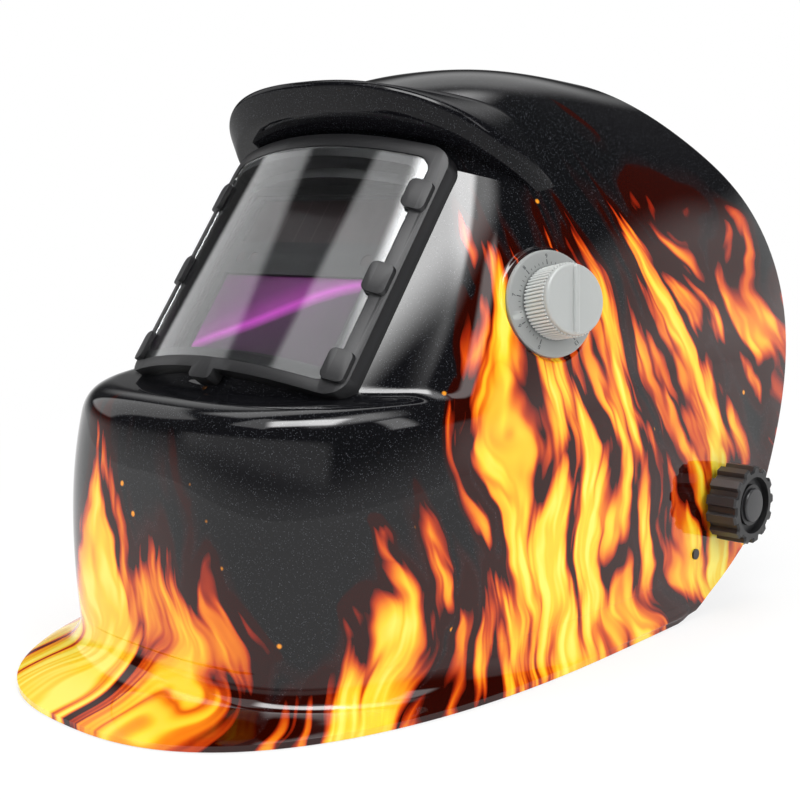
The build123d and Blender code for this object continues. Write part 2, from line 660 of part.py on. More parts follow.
SHADE_KNOB_BACK = DIAL_FACE + 0.3
with BuildPart() as shade_knob:
    with BuildSketch(DIAL.offset(SHADE_KNOB_BACK)):
        Circle(SHADE_KNOB_RADIUS - 0.5)
        with PolarLocations(SHADE_KNOB_RADIUS - 0.5 - RIB_ROOT, SHADE_KNOB_RIBS):
            Trapezoid(1.7, 0.5 + RIB_ROOT, 60, rotation=-90, align=(Align.CENTER, Align.MIN))
        Circle(POT_SHAFT_RADIUS + 0.05, mode=Mode.SUBTRACT)
    extrude(amount=SHADE_KNOB_HEIGHT - 1.6)
    with BuildSketch(DIAL.offset(SHADE_KNOB_BACK + SHADE_KNOB_HEIGHT - 1.6)):
        Circle(SHADE_KNOB_RADIUS - 0.7)
    extrude(amount=1.6)
    with BuildSketch(DIAL.offset(SHADE_KNOB_BACK)):
        Circle(SHADE_KNOB_RADIUS - 3)
    extrude(amount=NUT_HEIGHT + 2, mode=Mode.SUBTRACT)
    # pointer ridge over the cap
    with BuildSketch(DIAL.offset(SHADE_KNOB_BACK + SHADE_KNOB_HEIGHT - 0.2)):
        SlotOverall(2 * SHADE_KNOB_RADIUS - 2, 2.6, rotation=80)
    extrude(amount=1.4)
finish(shade_knob.part, "shade_knob")

with BuildPart() as shade_pot:
    with BuildSketch(DIAL.offset(-4.6 - POT_DEPTH)):
        Circle(POT_RADIUS)
    extrude(amount=POT_DEPTH)
    with BuildSketch(DIAL.offset(-4.6)):
        Circle(POT_BUSH_RADIUS)
    extrude(amount=4.6 + DIAL_FACE + FIT + NUT_HEIGHT + 0.6)
finish(shade_pot.part, "shade_potentiometer")

with BuildPart() as shade_shaft:
    with BuildSketch(DIAL.offset(DIAL_FACE + FIT + NUT_HEIGHT + 0.7)):
        Circle(POT_SHAFT_RADIUS)
    extrude(amount=SHADE_KNOB_HEIGHT - 1.7 - NUT_HEIGHT - 0.8)
finish(shade_shaft.part, "shade_shaft")

with BuildPart() as pot_cover:
    with BuildSketch(DIAL.offset(-4.6)):
        Circle(POT_RADIUS + 4)
        Circle(POT_RADIUS + 2, mode=Mode.SUBTRACT)
    extrude(amount=-POT_DEPTH - 3)
    with BuildSketch(DIAL.offset(-4.6 - POT_DEPTH - 3)):
        Circle(POT_RADIUS + 4)
    extrude(amount=-1.8)
    # socket of the lead to the cartridge
    with BuildSketch(DIAL.offset(-4.6 - POT_DEPTH - 4.8)):
        with Locations((-6, 4)):
            Circle(3)
    extrude(amount=-2.5)
    with BuildSketch(DIAL.offset(-4.6 - POT_DEPTH - 2)):
        with Locations((-6, 4)):
            Circle(1.7)
    extrude(amount=-8, mode=Mode.SUBTRACT)
finish(pot_cover.part, "shade_pot_cover")

# ---------------------------------------------------------------- pivots, built on the left and mirrored
ARM_OUTSIDE = INNER_FACE - STOP_PLATE - 2 * FIT
ARM_INSIDE = ARM_OUTSIDE - ARM_THICKNESS
WASHER_OUTSIDE = PAD_FACE + FIT + 1.5
KNOB_INSIDE = WASHER_OUTSIDE + FIT
KNOB_OUTSIDE = KNOB_INSIDE + TENSION_HEIGHT

with BuildPart() as stop_plate:
    with BuildSketch(PIVOT.offset(INNER_FACE - STOP_PLATE)):
        with BuildSketch(mode=Mode.PRIVATE) as spots:
            Circle(15)
            with Locations((PEG_Y, PEG_Z)):
                Circle(6)
            with Locations((27, -22)):
                Circle(5)
        make_hull(spots.sketch.edges())
        Circle(BOLT_RADIUS + 2 * BOLT_GAP, mode=Mode.SUBTRACT)
    extrude(amount=STOP_PLATE)
    with BuildSketch(PIVOT.offset(INNER_FACE)):
        with Locations((PEG_Y, PEG_Z)):
            Circle(PEG_RADIUS)
    extrude(amount=4.4)

with BuildPart() as pivot_bolt:
    with BuildSketch(PIVOT.offset(ARM_INSIDE - FIT)):
        Circle(8)
    extrude(amount=-3)
    with BuildSketch(PIVOT.offset(ARM_INSIDE - FIT)):
        Circle(BOLT_RADIUS)
    extrude(amount=KNOB_OUTSIDE - 4 - ARM_INSIDE)

with BuildPart() as washer:
    with BuildSketch(PIVOT.offset(PAD_FACE + FIT)):
        Circle(12)
        Circle(BOLT_RADIUS + BOLT_GAP, mode=Mode.SUBTRACT)
    extrude(amount=1.5)

with BuildPart() as tension_knob:
    with BuildSketch(PIVOT.offset(KNOB_INSIDE)):
        Circle(TENSION_RADIUS - LOBE_DEPTH)
        with PolarLocations(TENSION_RADIUS - LOBE_DEPTH - RIB_ROOT, TENSION_LOBES):
            Trapezoid(LOBE_WIDTH, LOBE_DEPTH + RIB_ROOT, 72, rotation=-90, align=(Align.CENTER, Align.MIN))
    extrude(amount=TENSION_HEIGHT)
    chamfer(tension_knob.faces().sort_by(Axis.X)[-1].edges(), 0.8)
    # ring-shaped hollow in the face, with the boss standing in its middle
    with BuildSketch(PIVOT.offset(KNOB_OUTSIDE)):
        Circle(TENSION_RADIUS - 4.6)
    extrude(amount=-3, mode=Mode.SUBTRACT)
    with BuildSketch(PIVOT.offset(KNOB_OUTSIDE - 3)):
        Circle(9)
    extrude(amount=1.6)
    with BuildSketch(PIVOT.offset(KNOB_INSIDE)):
        Circle(BOLT_RADIUS + BOLT_GAP)
    extrude(amount=TENSION_HEIGHT + 1, mode=Mode.SUBTRACT)

with BuildPart() as knob_cap:
    with BuildSketch(PIVOT.offset(KNOB_OUTSIDE - 1.3)):
        Circle(7.4)
    extrude(amount=1.5)
    chamfer(knob_cap.faces().sort_by(Axis.X)[-1].edges(), 0.5)

for piece, name in ((stop_plate, "stop_plate"), (tension_knob, "tension_knob"), (knob_cap, "knob_cap")):
    finish(piece.part, name + "_left")
    finish(mirror(piece.part, about=Plane.YZ), name + "_right")
for piece, name in ((pivot_bolt, "pivot_bolts"), (washer, "pivot_washers")):
    with BuildPart() as pair:
        add(piece.part)
        mirror(about=Plane.YZ)
    finish(pair.part, name)

# ---------------------------------------------------------------- headgear, built level and tilted on saving
BAND_SIDE_RADIUS = oval_side_radius(BAND_HALF_WIDTH, BAND_REACH, BAND_FRONT_RADIUS)


def band_half_width(y, grow=0.0):
    """Half width of the headband's outside, grown by the amount, this far behind the pivots."""
    ahead = min(y, 0.0)
    return math.sqrt((BAND_SIDE_RADIUS + grow) ** 2 - ahead**2) - BAND_SIDE_RADIUS + BAND_HALF_WIDTH


def band_plan(height):
    """Level plane this far above the middle of the band; its Y points forward."""
    return Plane(origin=(0, 0, BAND_Z + height), x_dir=(-1, 0, 0), z_dir=(0, 0, 1))


def band_oval(grow, start=0.0):
    """Plan of the headband's outside, grown by the amount, as arcs in a band_plan."""
    return oval(BAND_HALF_WIDTH, BAND_REACH, BAND_FRONT_RADIUS, grow, start)


def arm_rivet_plane(offset):
    """Plane of the left arm's rivet, square to the headband and this far outside it."""
    across = band_half_width(ARM_RIVET_Y)
    centre = BAND_HALF_WIDTH - BAND_SIDE_RADIUS
    return Plane(origin=(across, ARM_RIVET_Y, BAND_Z), z_dir=(across - centre, ARM_RIVET_Y, 0)).offset(offset)


RIVET_RADIUS = 2.5
FRONT_STRAP_Y = -36.0
REAR_STRAP_Y = 12.0
# middle of the straps' walls at the band
FRONT_STRAP_X = band_half_width(FRONT_STRAP_Y + 0.7 * STRAP_WIDTH) + STRAP_THICKNESS / 2 + 0.3
REAR_STRAP_X = BAND_HALF_WIDTH + TAIL_THICKNESS + STRAP_THICKNESS / 2 + 0.5
ARM_RIVET_Y = -73.0
ARM_SEAT = 1.7              # middle of the arm's wall outside the headband
RIVET_HEAD = 1.5            # rivet heads are this much larger in radius

with BuildPart() as headband:
    with BuildSketch(band_plan(-BAND_HEIGHT / 2)):
        for grow, end, mode in ((0.0, BAND_END, Mode.ADD), (-BAND_THICKNESS, BAND_END + 1, Mode.SUBTRACT)):
            with BuildLine():
                left, right = band_oval(grow)
                Polyline(right, (right.X, -end), (left.X, -end), left)
            make_face(mode=mode)
    extrude(amount=BAND_HEIGHT)
    with BuildSketch(Plane.YZ.offset(-150)):
        with Locations((FRONT_STRAP_Y, BAND_Z), (REAR_STRAP_Y, BAND_Z)):
            Circle(RIVET_RADIUS + FIT)
    extrude(amount=300, mode=Mode.SUBTRACT)
    with BuildPart(mode=Mode.PRIVATE) as arm_hole:
        with BuildSketch(arm_rivet_plane(-5)):
            Circle(RIVET_RADIUS + FIT)
        extrude(amount=12)
        mirror(about=Plane.YZ)
    add(arm_hole.part, mode=Mode.SUBTRACT)
finish(headband.part, "headband", HEAD_PLACE)

with BuildPart() as sweatband:
    with BuildSketch(band_plan(-SWEATBAND_HEIGHT / 2)):
        with BuildLine():
            outer = band_oval(-BAND_THICKNESS - SWEATBAND_GAP, SWEATBAND_START)
            inner = band_oval(-BAND_THICKNESS - SWEATBAND_GAP - SWEATBAND_THICKNESS, SWEATBAND_START)
            Line(outer[0], inner[0])
            Line(outer[1], inner[1])
        make_face()
    extrude(amount=SWEATBAND_HEIGHT)
finish(sweatband.part, "sweatband", HEAD_PLACE)

TAIL_GAP = 0.9              # half the distance between the two tails at the nape
RACK_LENGTH = 44.0
RACK_HALF_HEIGHT = 6.4
TOOTH_DEPTH = 1.8
PITCH = 2 * math.pi * PINION_RADIUS / PINION_TEETH


def band_tail(layer, teeth_side):
    """A tail of the left side; layer moves it back or forward, teeth_side is 1 for upper teeth."""
    rear = REAR_Y + layer
    with BuildPart() as tail:
        with BuildSketch(Plane.XY.offset(BAND_Z - BAND_HEIGHT / 2 + 1)):
            with BuildLine():
                tail_x = BAND_HALF_WIDTH + TAIL_THICKNESS / 2 + FIT
                Line((tail_x, TAIL_START), (tail_x, 34))
                Spline((tail_x, 34), (68, 74), (32, rear), tangents=[(0, 1), (-1, 0)])
                Line((32, rear), (-24, rear))
            trace(line_width=TAIL_THICKNESS)
        extrude(amount=BAND_HEIGHT - 2)
        # slot with a row of teeth for the pinion
        with BuildSketch(Plane.XZ.offset(-rear - 3)):
            with Locations((4, BAND_Z)):
                Rectangle(RACK_LENGTH, 2 * RACK_HALF_HEIGHT)
        extrude(amount=6, mode=Mode.SUBTRACT)
        with BuildSketch(Plane.XZ.offset(-rear - TAIL_THICKNESS / 2)):
            for step in range(-5, 8):
                with Locations((step * PITCH, BAND_Z + teeth_side * RACK_HALF_HEIGHT)):
                    Trapezoid(2.0, TOOTH_DEPTH, 74, rotation=90 + 90 * teeth_side, align=(Align.CENTER, Align.MIN))
        extrude(amount=TAIL_THICKNESS)
        with BuildSketch(Plane.YZ.offset(50)):
            with Locations((REAR_STRAP_Y, BAND_Z)):
                Circle(RIVET_RADIUS + FIT)
        extrude(amount=50, mode=Mode.SUBTRACT)
    return tail.part


finish(band_tail(TAIL_GAP, 1), "band_tail_left", HEAD_PLACE)
finish(mirror(band_tail(-TAIL_GAP, -1), about=Plane.YZ), "band_tail_right", HEAD_PLACE)

# ratchet that winds the tails in
HOUSING_FRONT = REAR_Y - TAIL_GAP - TAIL_THICKNESS / 2 - 2.2
SLOT_FRONT = REAR_Y - TAIL_GAP - TAIL_THICKNESS / 2 - 0.3
SLOT_BACK = REAR_Y + TAIL_GAP + TAIL_THICKNESS / 2 + 0.3
COVER_BACK = SLOT_BACK + 3.0


def nape_plane(y):
    """Upright plane across the nape; its Z points back."""
    return Plane(origin=(0, y, BAND_Z), x_dir=(-1, 0, 0), z_dir=(0, 1, 0))


with BuildPart() as ratchet_housing:
    with BuildSketch(nape_plane(HOUSING_FRONT)):
        RectangleRounded(RATCHET_WIDTH, RATCHET_HEIGHT, 8)
    extrude(amount=SLOT_BACK - HOUSING_FRONT)
    with BuildSketch(nape_plane(SLOT_FRONT)):
        Rectangle(RATCHET_WIDTH + 2, BAND_HEIGHT - 1.4)
    extrude(amount=SLOT_BACK, mode=Mode.SUBTRACT)
    with BuildSketch(nape_plane(HOUSING_FRONT)):
        Circle(2.1)
    extrude(amount=10, mode=Mode.SUBTRACT)
finish(ratchet_housing.part, "ratchet_housing", HEAD_PLACE)

with BuildPart() as ratchet_cover:
    with BuildSketch(nape_plane(SLOT_BACK + 0.05)):
        RectangleRounded(RATCHET_WIDTH, RATCHET_HEIGHT, 8)
    extrude(amount=COVER_BACK - SLOT_BACK)
    chamfer(ratchet_cover.faces().sort_by(Axis.Y)[-1].edges(), 1.2)
    with BuildSketch(nape_plane(SLOT_BACK)):
        Circle(PINION_RADIUS - 0.4)
    extrude(amount=10, mode=Mode.SUBTRACT)
finish(ratchet_cover.part, "ratchet_cover", HEAD_PLACE)

with BuildPart() as pinion:
    with BuildSketch(nape_plane(SLOT_FRONT + 0.2)):
        Circle(PINION_RADIUS - 0.9)
        with PolarLocations(PINION_RADIUS - 1.2, PINION_TEETH, start_angle=0):
            Trapezoid(2.0, 1.9, 74, rotation=-90, align=(Align.CENTER, Align.MIN))
    extrude(amount=SLOT_BACK - SLOT_FRONT - 0.4)
    with BuildSketch(nape_plane(HOUSING_FRONT + 0.1)):
        Circle(2.0)
    extrude(amount=5)
    with BuildSketch(nape_plane(SLOT_BACK - 0.3)):
        Circle(PINION_RADIUS - 0.9)
    extrude(amount=COVER_BACK - SLOT_BACK + 8)
finish(pinion.part, "ratchet_pinion", HEAD_PLACE)

KNOB_FRONT = COVER_BACK + 0.3
with BuildPart() as ratchet_knob:
    with BuildSketch(nape_plane(KNOB_FRONT)):
        Circle(RATCHET_KNOB_RADIUS - 1.2)
        with PolarLocations(RATCHET_KNOB_RADIUS - 1.2 - RIB_ROOT, RATCHET_KNOB_RIBS):
            Trapezoid(3.2, 1.2 + RIB_ROOT, 72, rotation=-90, align=(Align.CENTER, Align.MIN))
    extrude(amount=RATCHET_KNOB_HEIGHT)
    chamfer(ratchet_knob.faces().sort_by(Axis.Y)[-1].edges(), 0.6)
    with BuildSketch(nape_plane(KNOB_FRONT + RATCHET_KNOB_HEIGHT - 1.5)):
        Circle(RATCHET_KNOB_RADIUS - 5)
    extrude(amount=3, mode=Mode.SUBTRACT)
    with BuildSketch(nape_plane(KNOB_FRONT)):
        Circle(PINION_RADIUS - 0.85)
    extrude(amount=7.8, mode=Mode.SUBTRACT)
finish(ratchet_knob.part, "ratchet_knob", HEAD_PLACE)

with BuildPart() as nape_pad:
    with BuildSketch(nape_plane(HOUSING_FRONT - 0.3)):
        RectangleRounded(RATCHET_WIDTH + 24, RATCHET_HEIGHT - 2, 10)
    extrude(amount=-6)
finish(nape_pad.part, "nape_pad", HEAD_PLACE)


# crown straps: two halves each, pegged together over the head
def strap_plane(band_y, top_y, top_z):
    """Plane of a strap's arch; its local Y points from the band to the top."""
    rise = math.hypot(top_y - band_y, top_z - BAND_Z)
    up = (0, (top_y - band_y) / rise, (top_z - BAND_Z) / rise)
    return Plane(origin=(0, band_y, BAND_Z), x_dir=(1, 0, 0), z_dir=(0, -up[2], up[1])), rise


PEG_STEP = 12.0
STRAP_TOP_RADIUS = 66.0     # straps arch over the head in three tangent arcs
STRAP_LAP = 26.0            # halves overlap this far past the middle
STRAP_LAYER = 1.9           # the right half runs this far above the left one
STRAP_FOOT = 7.0            # straps reach this far below the middle of the band


def crown_strap(band_y, top_y, top_z, half_width, layer, side):
    """Half a strap from one side of the band over the top; side is 1 on the left."""
    plane, rise = strap_plane(band_y, top_y, top_z)
    with BuildPart() as strap:
        with BuildSketch(plane.offset(-STRAP_WIDTH / 2)):
            for grow, mode in ((STRAP_THICKNESS / 2, Mode.ADD), (-STRAP_THICKNESS / 2, Mode.SUBTRACT)):
                with BuildLine():
                    left, right = oval(half_width, rise + layer, STRAP_TOP_RADIUS, grow)
                    Polyline(right, (right.X, -STRAP_FOOT), (left.X, -STRAP_FOOT), left)
                make_face(mode=mode)
        extrude(amount=STRAP_WIDTH)
        # each half ends a little beyond the middle
        with BuildSketch(Plane.XY.offset(-20)):
            with Locations((-side * STRAP_LAP, 0)):
                Rectangle(200, 400, align=(Align.MIN if side > 0 else Align.MAX, Align.CENTER))
        extrude(amount=250, mode=Mode.INTERSECT)
        with BuildSketch(Plane.YZ.offset(side * 50)):
            with Locations((band_y, BAND_Z)):
                Circle(RIVET_RADIUS + FIT)
        extrude(amount=side * 60, mode=Mode.SUBTRACT)
        # pegs on the left half, a row of holes in the right half
        top = Plane(origin=plane.origin + plane.y_dir * (rise - 2), x_dir=(1, 0, 0), z_dir=plane.y_dir)
        with BuildSketch(top):
            with GridLocations(PEG_STEP, 1, 2 if side > 0 else 4, 1):
                Circle(2.2 if side > 0 else 2.4)
        if side > 0:
            extrude(amount=2 + 3.4)
        else:
            extrude(amount=14, mode=Mode.SUBTRACT)
    return strap.part


STRAPS = {
    "front": (FRONT_STRAP_Y, -14.0, 148.0, FRONT_STRAP_X),
    "rear": (REAR_STRAP_Y, 30.0, 143.0, REAR_STRAP_X),
}
for name, (band_y, top_y, top_z, half_width) in STRAPS.items():
    left = crown_strap(band_y, top_y, top_z, half_width, 0.0, 1)
    right = crown_strap(band_y, top_y, top_z, half_width, STRAP_LAYER, -1)
    finish(left, f"crown_strap_{name}_left", HEAD_PLACE)
    finish(right, f"crown_strap_{name}_right", HEAD_PLACE)

# rivets of the straps and the side arms, a group of like pieces
with BuildPart() as rivets:
    for band_y, strap_x in ((FRONT_STRAP_Y, FRONT_STRAP_X), (REAR_STRAP_Y, REAR_STRAP_X)):
        inside = band_half_width(min(band_y + RIVET_RADIUS, 0.0), -BAND_THICKNESS) + FIT
        with BuildSketch(Plane.YZ.offset(inside)):
            with Locations((band_y, BAND_Z)):
                Circle(RIVET_RADIUS)
        extrude(amount=strap_x + STRAP_THICKNESS / 2 + 0.2 - inside)
        with BuildSketch(Plane.YZ.offset(strap_x + STRAP_THICKNESS / 2 + 0.1)):
            with Locations((band_y, BAND_Z)):
                Circle(RIVET_RADIUS + RIVET_HEAD)
        extrude(amount=1.0)
    with BuildSketch(arm_rivet_plane(FIT - BAND_THICKNESS)):
        Circle(RIVET_RADIUS)
    extrude(amount=BAND_THICKNESS + ARM_SEAT + ARM_THICKNESS / 2 + FIT)
    with BuildSketch(arm_rivet_plane(ARM_SEAT + ARM_THICKNESS / 2 + 0.15)):
        Circle(RIVET_RADIUS + RIVET_HEAD)
    extrude(amount=1.0)
    mirror(about=Plane.YZ)
finish(rivets.part, "band_rivets", HEAD_PLACE)

# side arms from the pivots forward to the brow
ARM_X = (ARM_OUTSIDE + ARM_INSIDE) / 2
ARM_BACK = 19.0             # reaches this far behind the pivot
ARM_BEND = 20.0             # radius of the bend
ARM_TAB = 11.0              # runs on this far beyond its rivet
ARM_HEIGHT = 70.0
arm_seat = arm_rivet_plane(ARM_SEAT)
forward = Vector(arm_seat.z_dir.Y, -arm_seat.z_dir.X)
bend = arm_seat.origin + forward * ((ARM_X - arm_seat.origin.X) / forward.X)
tab = arm_seat.origin + forward * ARM_TAB
with BuildPart() as side_arm:
    with BuildSketch(Plane.XY.offset(-20)):
        with BuildLine():
            FilletPolyline((ARM_X, ARM_BACK), (bend.X, bend.Y), (tab.X, tab.Y), radius=ARM_BEND)
        trace(line_width=ARM_THICKNESS)
    extrude(amount=ARM_HEIGHT)
    with BuildSketch(Plane.YZ):
        with BuildLine():
            Polyline(
                (16, -15), (-16, -15), (-44, 6), (tab.Y, BAND_Z - 8),
                (tab.Y, BAND_Z + 8), (-40, BAND_Z + 6), (-16, 15), (16, 15), (16, -15),
            )
        make_face()
    extrude(amount=200, mode=Mode.INTERSECT)
    with BuildSketch(Plane.YZ.offset(80)):
        with GridLocations(12, 1, 1, 1):
            Circle(BOLT_RADIUS + BOLT_GAP)
    extrude(amount=40, mode=Mode.SUBTRACT)
    with BuildSketch(arm_rivet_plane(-5)):
        Circle(RIVET_RADIUS + FIT)
    extrude(amount=20, mode=Mode.SUBTRACT)
finish(side_arm.part, "side_arm_left", HEAD_PLACE)
finish(mirror(side_arm.part, about=Plane.YZ), "side_arm_right", HEAD_PLACE)
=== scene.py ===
"""Welding helmet: gloss shell, window, shade dial, friction pivots and ratchet headgear."""

import json
import math
from contextlib import contextmanager

import bmesh
import bpy
import numpy as np
from mathutils import Matrix, Vector

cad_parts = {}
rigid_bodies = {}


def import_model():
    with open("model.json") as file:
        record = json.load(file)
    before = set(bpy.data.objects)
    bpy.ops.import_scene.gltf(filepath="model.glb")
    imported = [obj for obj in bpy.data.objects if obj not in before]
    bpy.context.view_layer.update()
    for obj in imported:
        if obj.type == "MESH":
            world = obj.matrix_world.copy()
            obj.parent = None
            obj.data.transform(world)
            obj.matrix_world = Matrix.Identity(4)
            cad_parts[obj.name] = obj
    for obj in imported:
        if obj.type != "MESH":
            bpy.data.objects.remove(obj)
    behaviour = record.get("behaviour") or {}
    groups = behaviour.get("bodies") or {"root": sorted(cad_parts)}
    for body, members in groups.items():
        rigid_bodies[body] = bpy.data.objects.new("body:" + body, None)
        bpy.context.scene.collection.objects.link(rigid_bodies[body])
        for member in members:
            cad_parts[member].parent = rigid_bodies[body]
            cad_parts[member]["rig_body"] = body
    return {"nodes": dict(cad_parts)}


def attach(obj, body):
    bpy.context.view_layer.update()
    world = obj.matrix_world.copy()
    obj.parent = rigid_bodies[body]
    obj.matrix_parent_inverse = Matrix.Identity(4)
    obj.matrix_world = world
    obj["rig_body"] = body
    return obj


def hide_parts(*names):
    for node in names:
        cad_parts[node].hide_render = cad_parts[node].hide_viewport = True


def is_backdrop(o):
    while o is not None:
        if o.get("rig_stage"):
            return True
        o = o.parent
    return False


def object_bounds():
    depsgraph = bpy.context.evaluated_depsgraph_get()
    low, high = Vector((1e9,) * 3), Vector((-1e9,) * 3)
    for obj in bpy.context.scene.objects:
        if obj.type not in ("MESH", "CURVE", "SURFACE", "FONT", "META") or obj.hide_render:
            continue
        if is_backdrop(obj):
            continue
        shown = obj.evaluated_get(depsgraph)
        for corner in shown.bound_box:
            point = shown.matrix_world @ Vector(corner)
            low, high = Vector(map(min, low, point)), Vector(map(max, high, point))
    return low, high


bl_info = {
    "name": "Welding Helmet",
    "version": (1, 0, 0),
    "blender": (4, 5, 0),
    "location": "View3D > Sidebar > Helmet",
    "description": "Dresses the welding helmet: painted shell, window, dial, pivots and headgear",
    "category": "Object",
}

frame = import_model()
CAD_BOX = [list(corner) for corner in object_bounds()]

MM = 0.001
SAME_POINT = 1e-6  # points nearer than this are one
SHIFT = 69.5  # the pivot axis lies this far behind the origin

# shell, in millimetres about the pivot axis
WALL = 2.5
HALF_WIDTH = 112.0
PIVOT_HEIGHT = 46.5
SWEEP_Y, SWEEP_Z, SWEEP_CORE = 38.0, 30.0, 2.0
RIM_Y = -66.0
LEDGE_HEIGHT = 113.0
# angle over the crown, reach, extra half width, roundness
STATIONS = np.array(
    [
        (60.0, 198.0, 0.5, 2.5),
        (78.0, 200.0, 0.5, 2.5),
        (97.8, 207.0, 0.0, 2.5),
        (110.5, 223.0, 0.0, 2.5),
        (130.3, 252.0, 0.0, 2.6),
        (146.0, 266.0, 0.0, 2.85),
        (162.0, 272.5, 0.3, 3.2),
        (173.0, 270.5, 0.6, 3.35),
        (182.0, 269.5, 0.5, 3.3),
        (192.0, 269.5, 0.3, 3.3),
        (204.0, 269.5, 0.2, 3.3),
        (216.0, 269.5, 0.2, 3.3),
    ]
)
# height, front and half width of the spreading chin lip
FLARE = np.array(
    [
        (2.4, 268.6, 113.6), (5.0, 251.0, 112.3), (8.5, 239.0, 111.0),
        (13.0, 231.5, 109.5), (19.0, 227.0, 107.5),
    ]
)
FLARE_POWER = 2.5
# free edge at the back: place behind the pivot axis and height
REAR_EDGE = np.array(
    [(-36, 0), (0, 12), (24, 25), (41, 50), (61, 90), (72, 138), (61, 178), (38, 204), (0, 243)], float
)

LEAN = math.radians(37.4)
WINDOW_Y, WINDOW_Z = -156.0, 154.6
FACE_RADIUS = 141.5
CURVE_CENTRE = 134.8
OPENING = (55.0, -44.0, 54.0)
FACE_TOP = 66.0

BRIM_BACK = 45.0
BRIM_POWER = 2.5
# place up the window, reach and half width of the brim's root, front edge below and above, and top
BRIM_PROFILE = ((64.5, 20.5, 82.0), (69.5, 32.5, 82.5), (72.5, 32.5, 82.5), (100.0, -9.0, 62.0))

CLIP_STEP, CLIP_LENGTH, CLIP_RADIUS = 38.0, 13.0, 149.2
CLIP_ENDS = (CLIP_LENGTH / 2, CLIP_STEP - CLIP_LENGTH / 2, CLIP_STEP + CLIP_LENGTH / 2)
CLIP_INSIDE, CLIP_CORNER = 50.0, 2.6  # least distance from the middle, and rounding

DIAL_TURN, DIAL_TILT = math.radians(14.0), math.radians(10.7)
DIAL_AT = np.array((95.0, -101.0, 142.0))
DIAL_OUT = np.array(
    (
        math.cos(DIAL_TURN) * math.cos(DIAL_TILT),
        -math.sin(DIAL_TURN) * math.cos(DIAL_TILT),
        math.sin(DIAL_TILT),
    )
)
SEAT_RADIUS, SEAT_HEIGHT = 22.0, 0.8  # flat seat that the dial lies on

# headgear: its lean, the height of the band's middle, and the seams and stitches of the pads
TILT = math.radians(15.0)
BAND_MIDDLE, PAD_HALF = 28.0, 12.0
SEAM_INSET, SEAM_WIDTH, SEAM_DEPTH = 3.4, 0.9, 0.55
NAPE_ACROSS, NAPE_ABOVE, NAPE_ROUND = 30.0, 5.0, 6.0
STITCH_RADIUS, STITCH_LENGTH = 0.28, 0.95
CLOTH_FRAMES = 20

# camera: lens in millimetres, place, and its right, up and back
VIEW_LENS, VIEW_SENSOR = 61.43, 36.0
VIEW_PLACE = (0.41590, -0.45433, 0.19418)
VIEW_AXES = ((0.72837, 0.68442, -0.03244), (-0.08913, 0.14158, 0.98591), (0.67936, -0.71521, 0.16412))
LIT_POINT = Vector((0, 0, 0.12))
FLOOR_HALF, FLOOR_DROP = 6, -0.0004
# name, place, size and power of the lamps
LAMPS = (
    ("front softbox", (-0.55, -1.25, 0.95), (0.5, 0.9), 12.0),
    ("left softbox", (1.35, -0.25, 0.75), (0.6, 0.9), 11.0),
    ("overhead softbox", (0.1, 0.25, 1.35), (1.0, 0.8), 12.0),
)

# reflected soft boxes: azimuth and elevation, half width, half height and soft edge in degrees, strength
SOFT_BOXES = (
    (-60.0, 67.0, 14.0, 6.0, 7.0, 15.0),
    (-18.0, 66.0, 10.0, 6.0, 14.0, 4.0),
    (2.0, 34.0, 2.5, 10.0, 4.0, 3.5),
    (-109.0, 61.0, 11.0, 11.0, 4.0, 1.7),
    (-172.0, 27.0, 14.0, 12.0, 4.0, 1.1),
    (135.0, 32.0, 14.0, 6.0, 12.0, 0.6),
    (60.0, 10.0, 40.0, 5.0, 8.0, 0.7),
    (-85.0, 17.0, 45.0, 3.0, 8.0, 0.6),
    (146.0, 62.0, 20.0, 6.0, 9.0, 2.2),
)


# ------------------------------------------------------------------ places
def metres(points):
    """Millimetres about the pivot axis to metres in the helmet's frame."""
    points = np.asarray(points, float)
    return (points + np.array((0.0, SHIFT, 0.0))) * MM


def window_point(x, up, out):
    """A point by its place on the window: across, up the slope and out of the face."""
    return (
        x,
        WINDOW_Y + up * math.sin(LEAN) - out * math.cos(LEAN),
        WINDOW_Z + up * math.cos(LEAN) + out * math.sin(LEAN),
    )


def head_point(x, y, z):
    """A point of the headgear by its place on the level headband."""
    return (
        x,
        y * math.cos(TILT) + z * math.sin(TILT),
        PIVOT_HEIGHT - y * math.sin(TILT) + z * math.cos(TILT),
    )


def head_place(points):
    """Place on the level headband of points in metres, in millimetres."""
    x, y, z = (np.asarray(points, float) / MM - np.array((0.0, SHIFT, PIVOT_HEIGHT))).T
    ahead = y * math.cos(TILT) - z * math.sin(TILT)
    above = y * math.sin(TILT) + z * math.cos(TILT)
    return np.stack([x, ahead, above], axis=1)


def window_place(points):
    """Place on the window of points in metres, in millimetres: across, up the slope and out."""
    x, y, z = (np.asarray(points, float) / MM - np.array((0.0, SHIFT + WINDOW_Y, WINDOW_Z))).T
    return np.stack([x, *leaned(y, z)], axis=1)


def leaned(fall, rise):
    """Up the slope of the window and out of it, by the distance behind and above its origin."""
    up = fall * math.sin(LEAN) + rise * math.cos(LEAN)
    out = -fall * math.cos(LEAN) + rise * math.sin(LEAN)
    return up, out


# ------------------------------------------------------------------ meshes
def linked(name, data):
    """A new object of the scene."""
    thing = bpy.data.objects.new(name, data)
    bpy.context.scene.collection.objects.link(thing)
    return thing


@contextmanager
def editing(mesh):
    """A mesh as a bmesh for the length of a with block."""
    form = bmesh.new()
    form.from_mesh(mesh)
    yield form
    form.to_mesh(mesh)
    form.free()


def get_points(mesh):
    """Points of a mesh, in metres."""
    flat = np.empty(len(mesh.vertices) * 3)
    mesh.vertices.foreach_get("co", flat)
    return flat.reshape(-1, 3)


def set_points(mesh, points):
    """Move the points of a mesh to places in metres."""
    mesh.vertices.foreach_set("co", points.ravel())


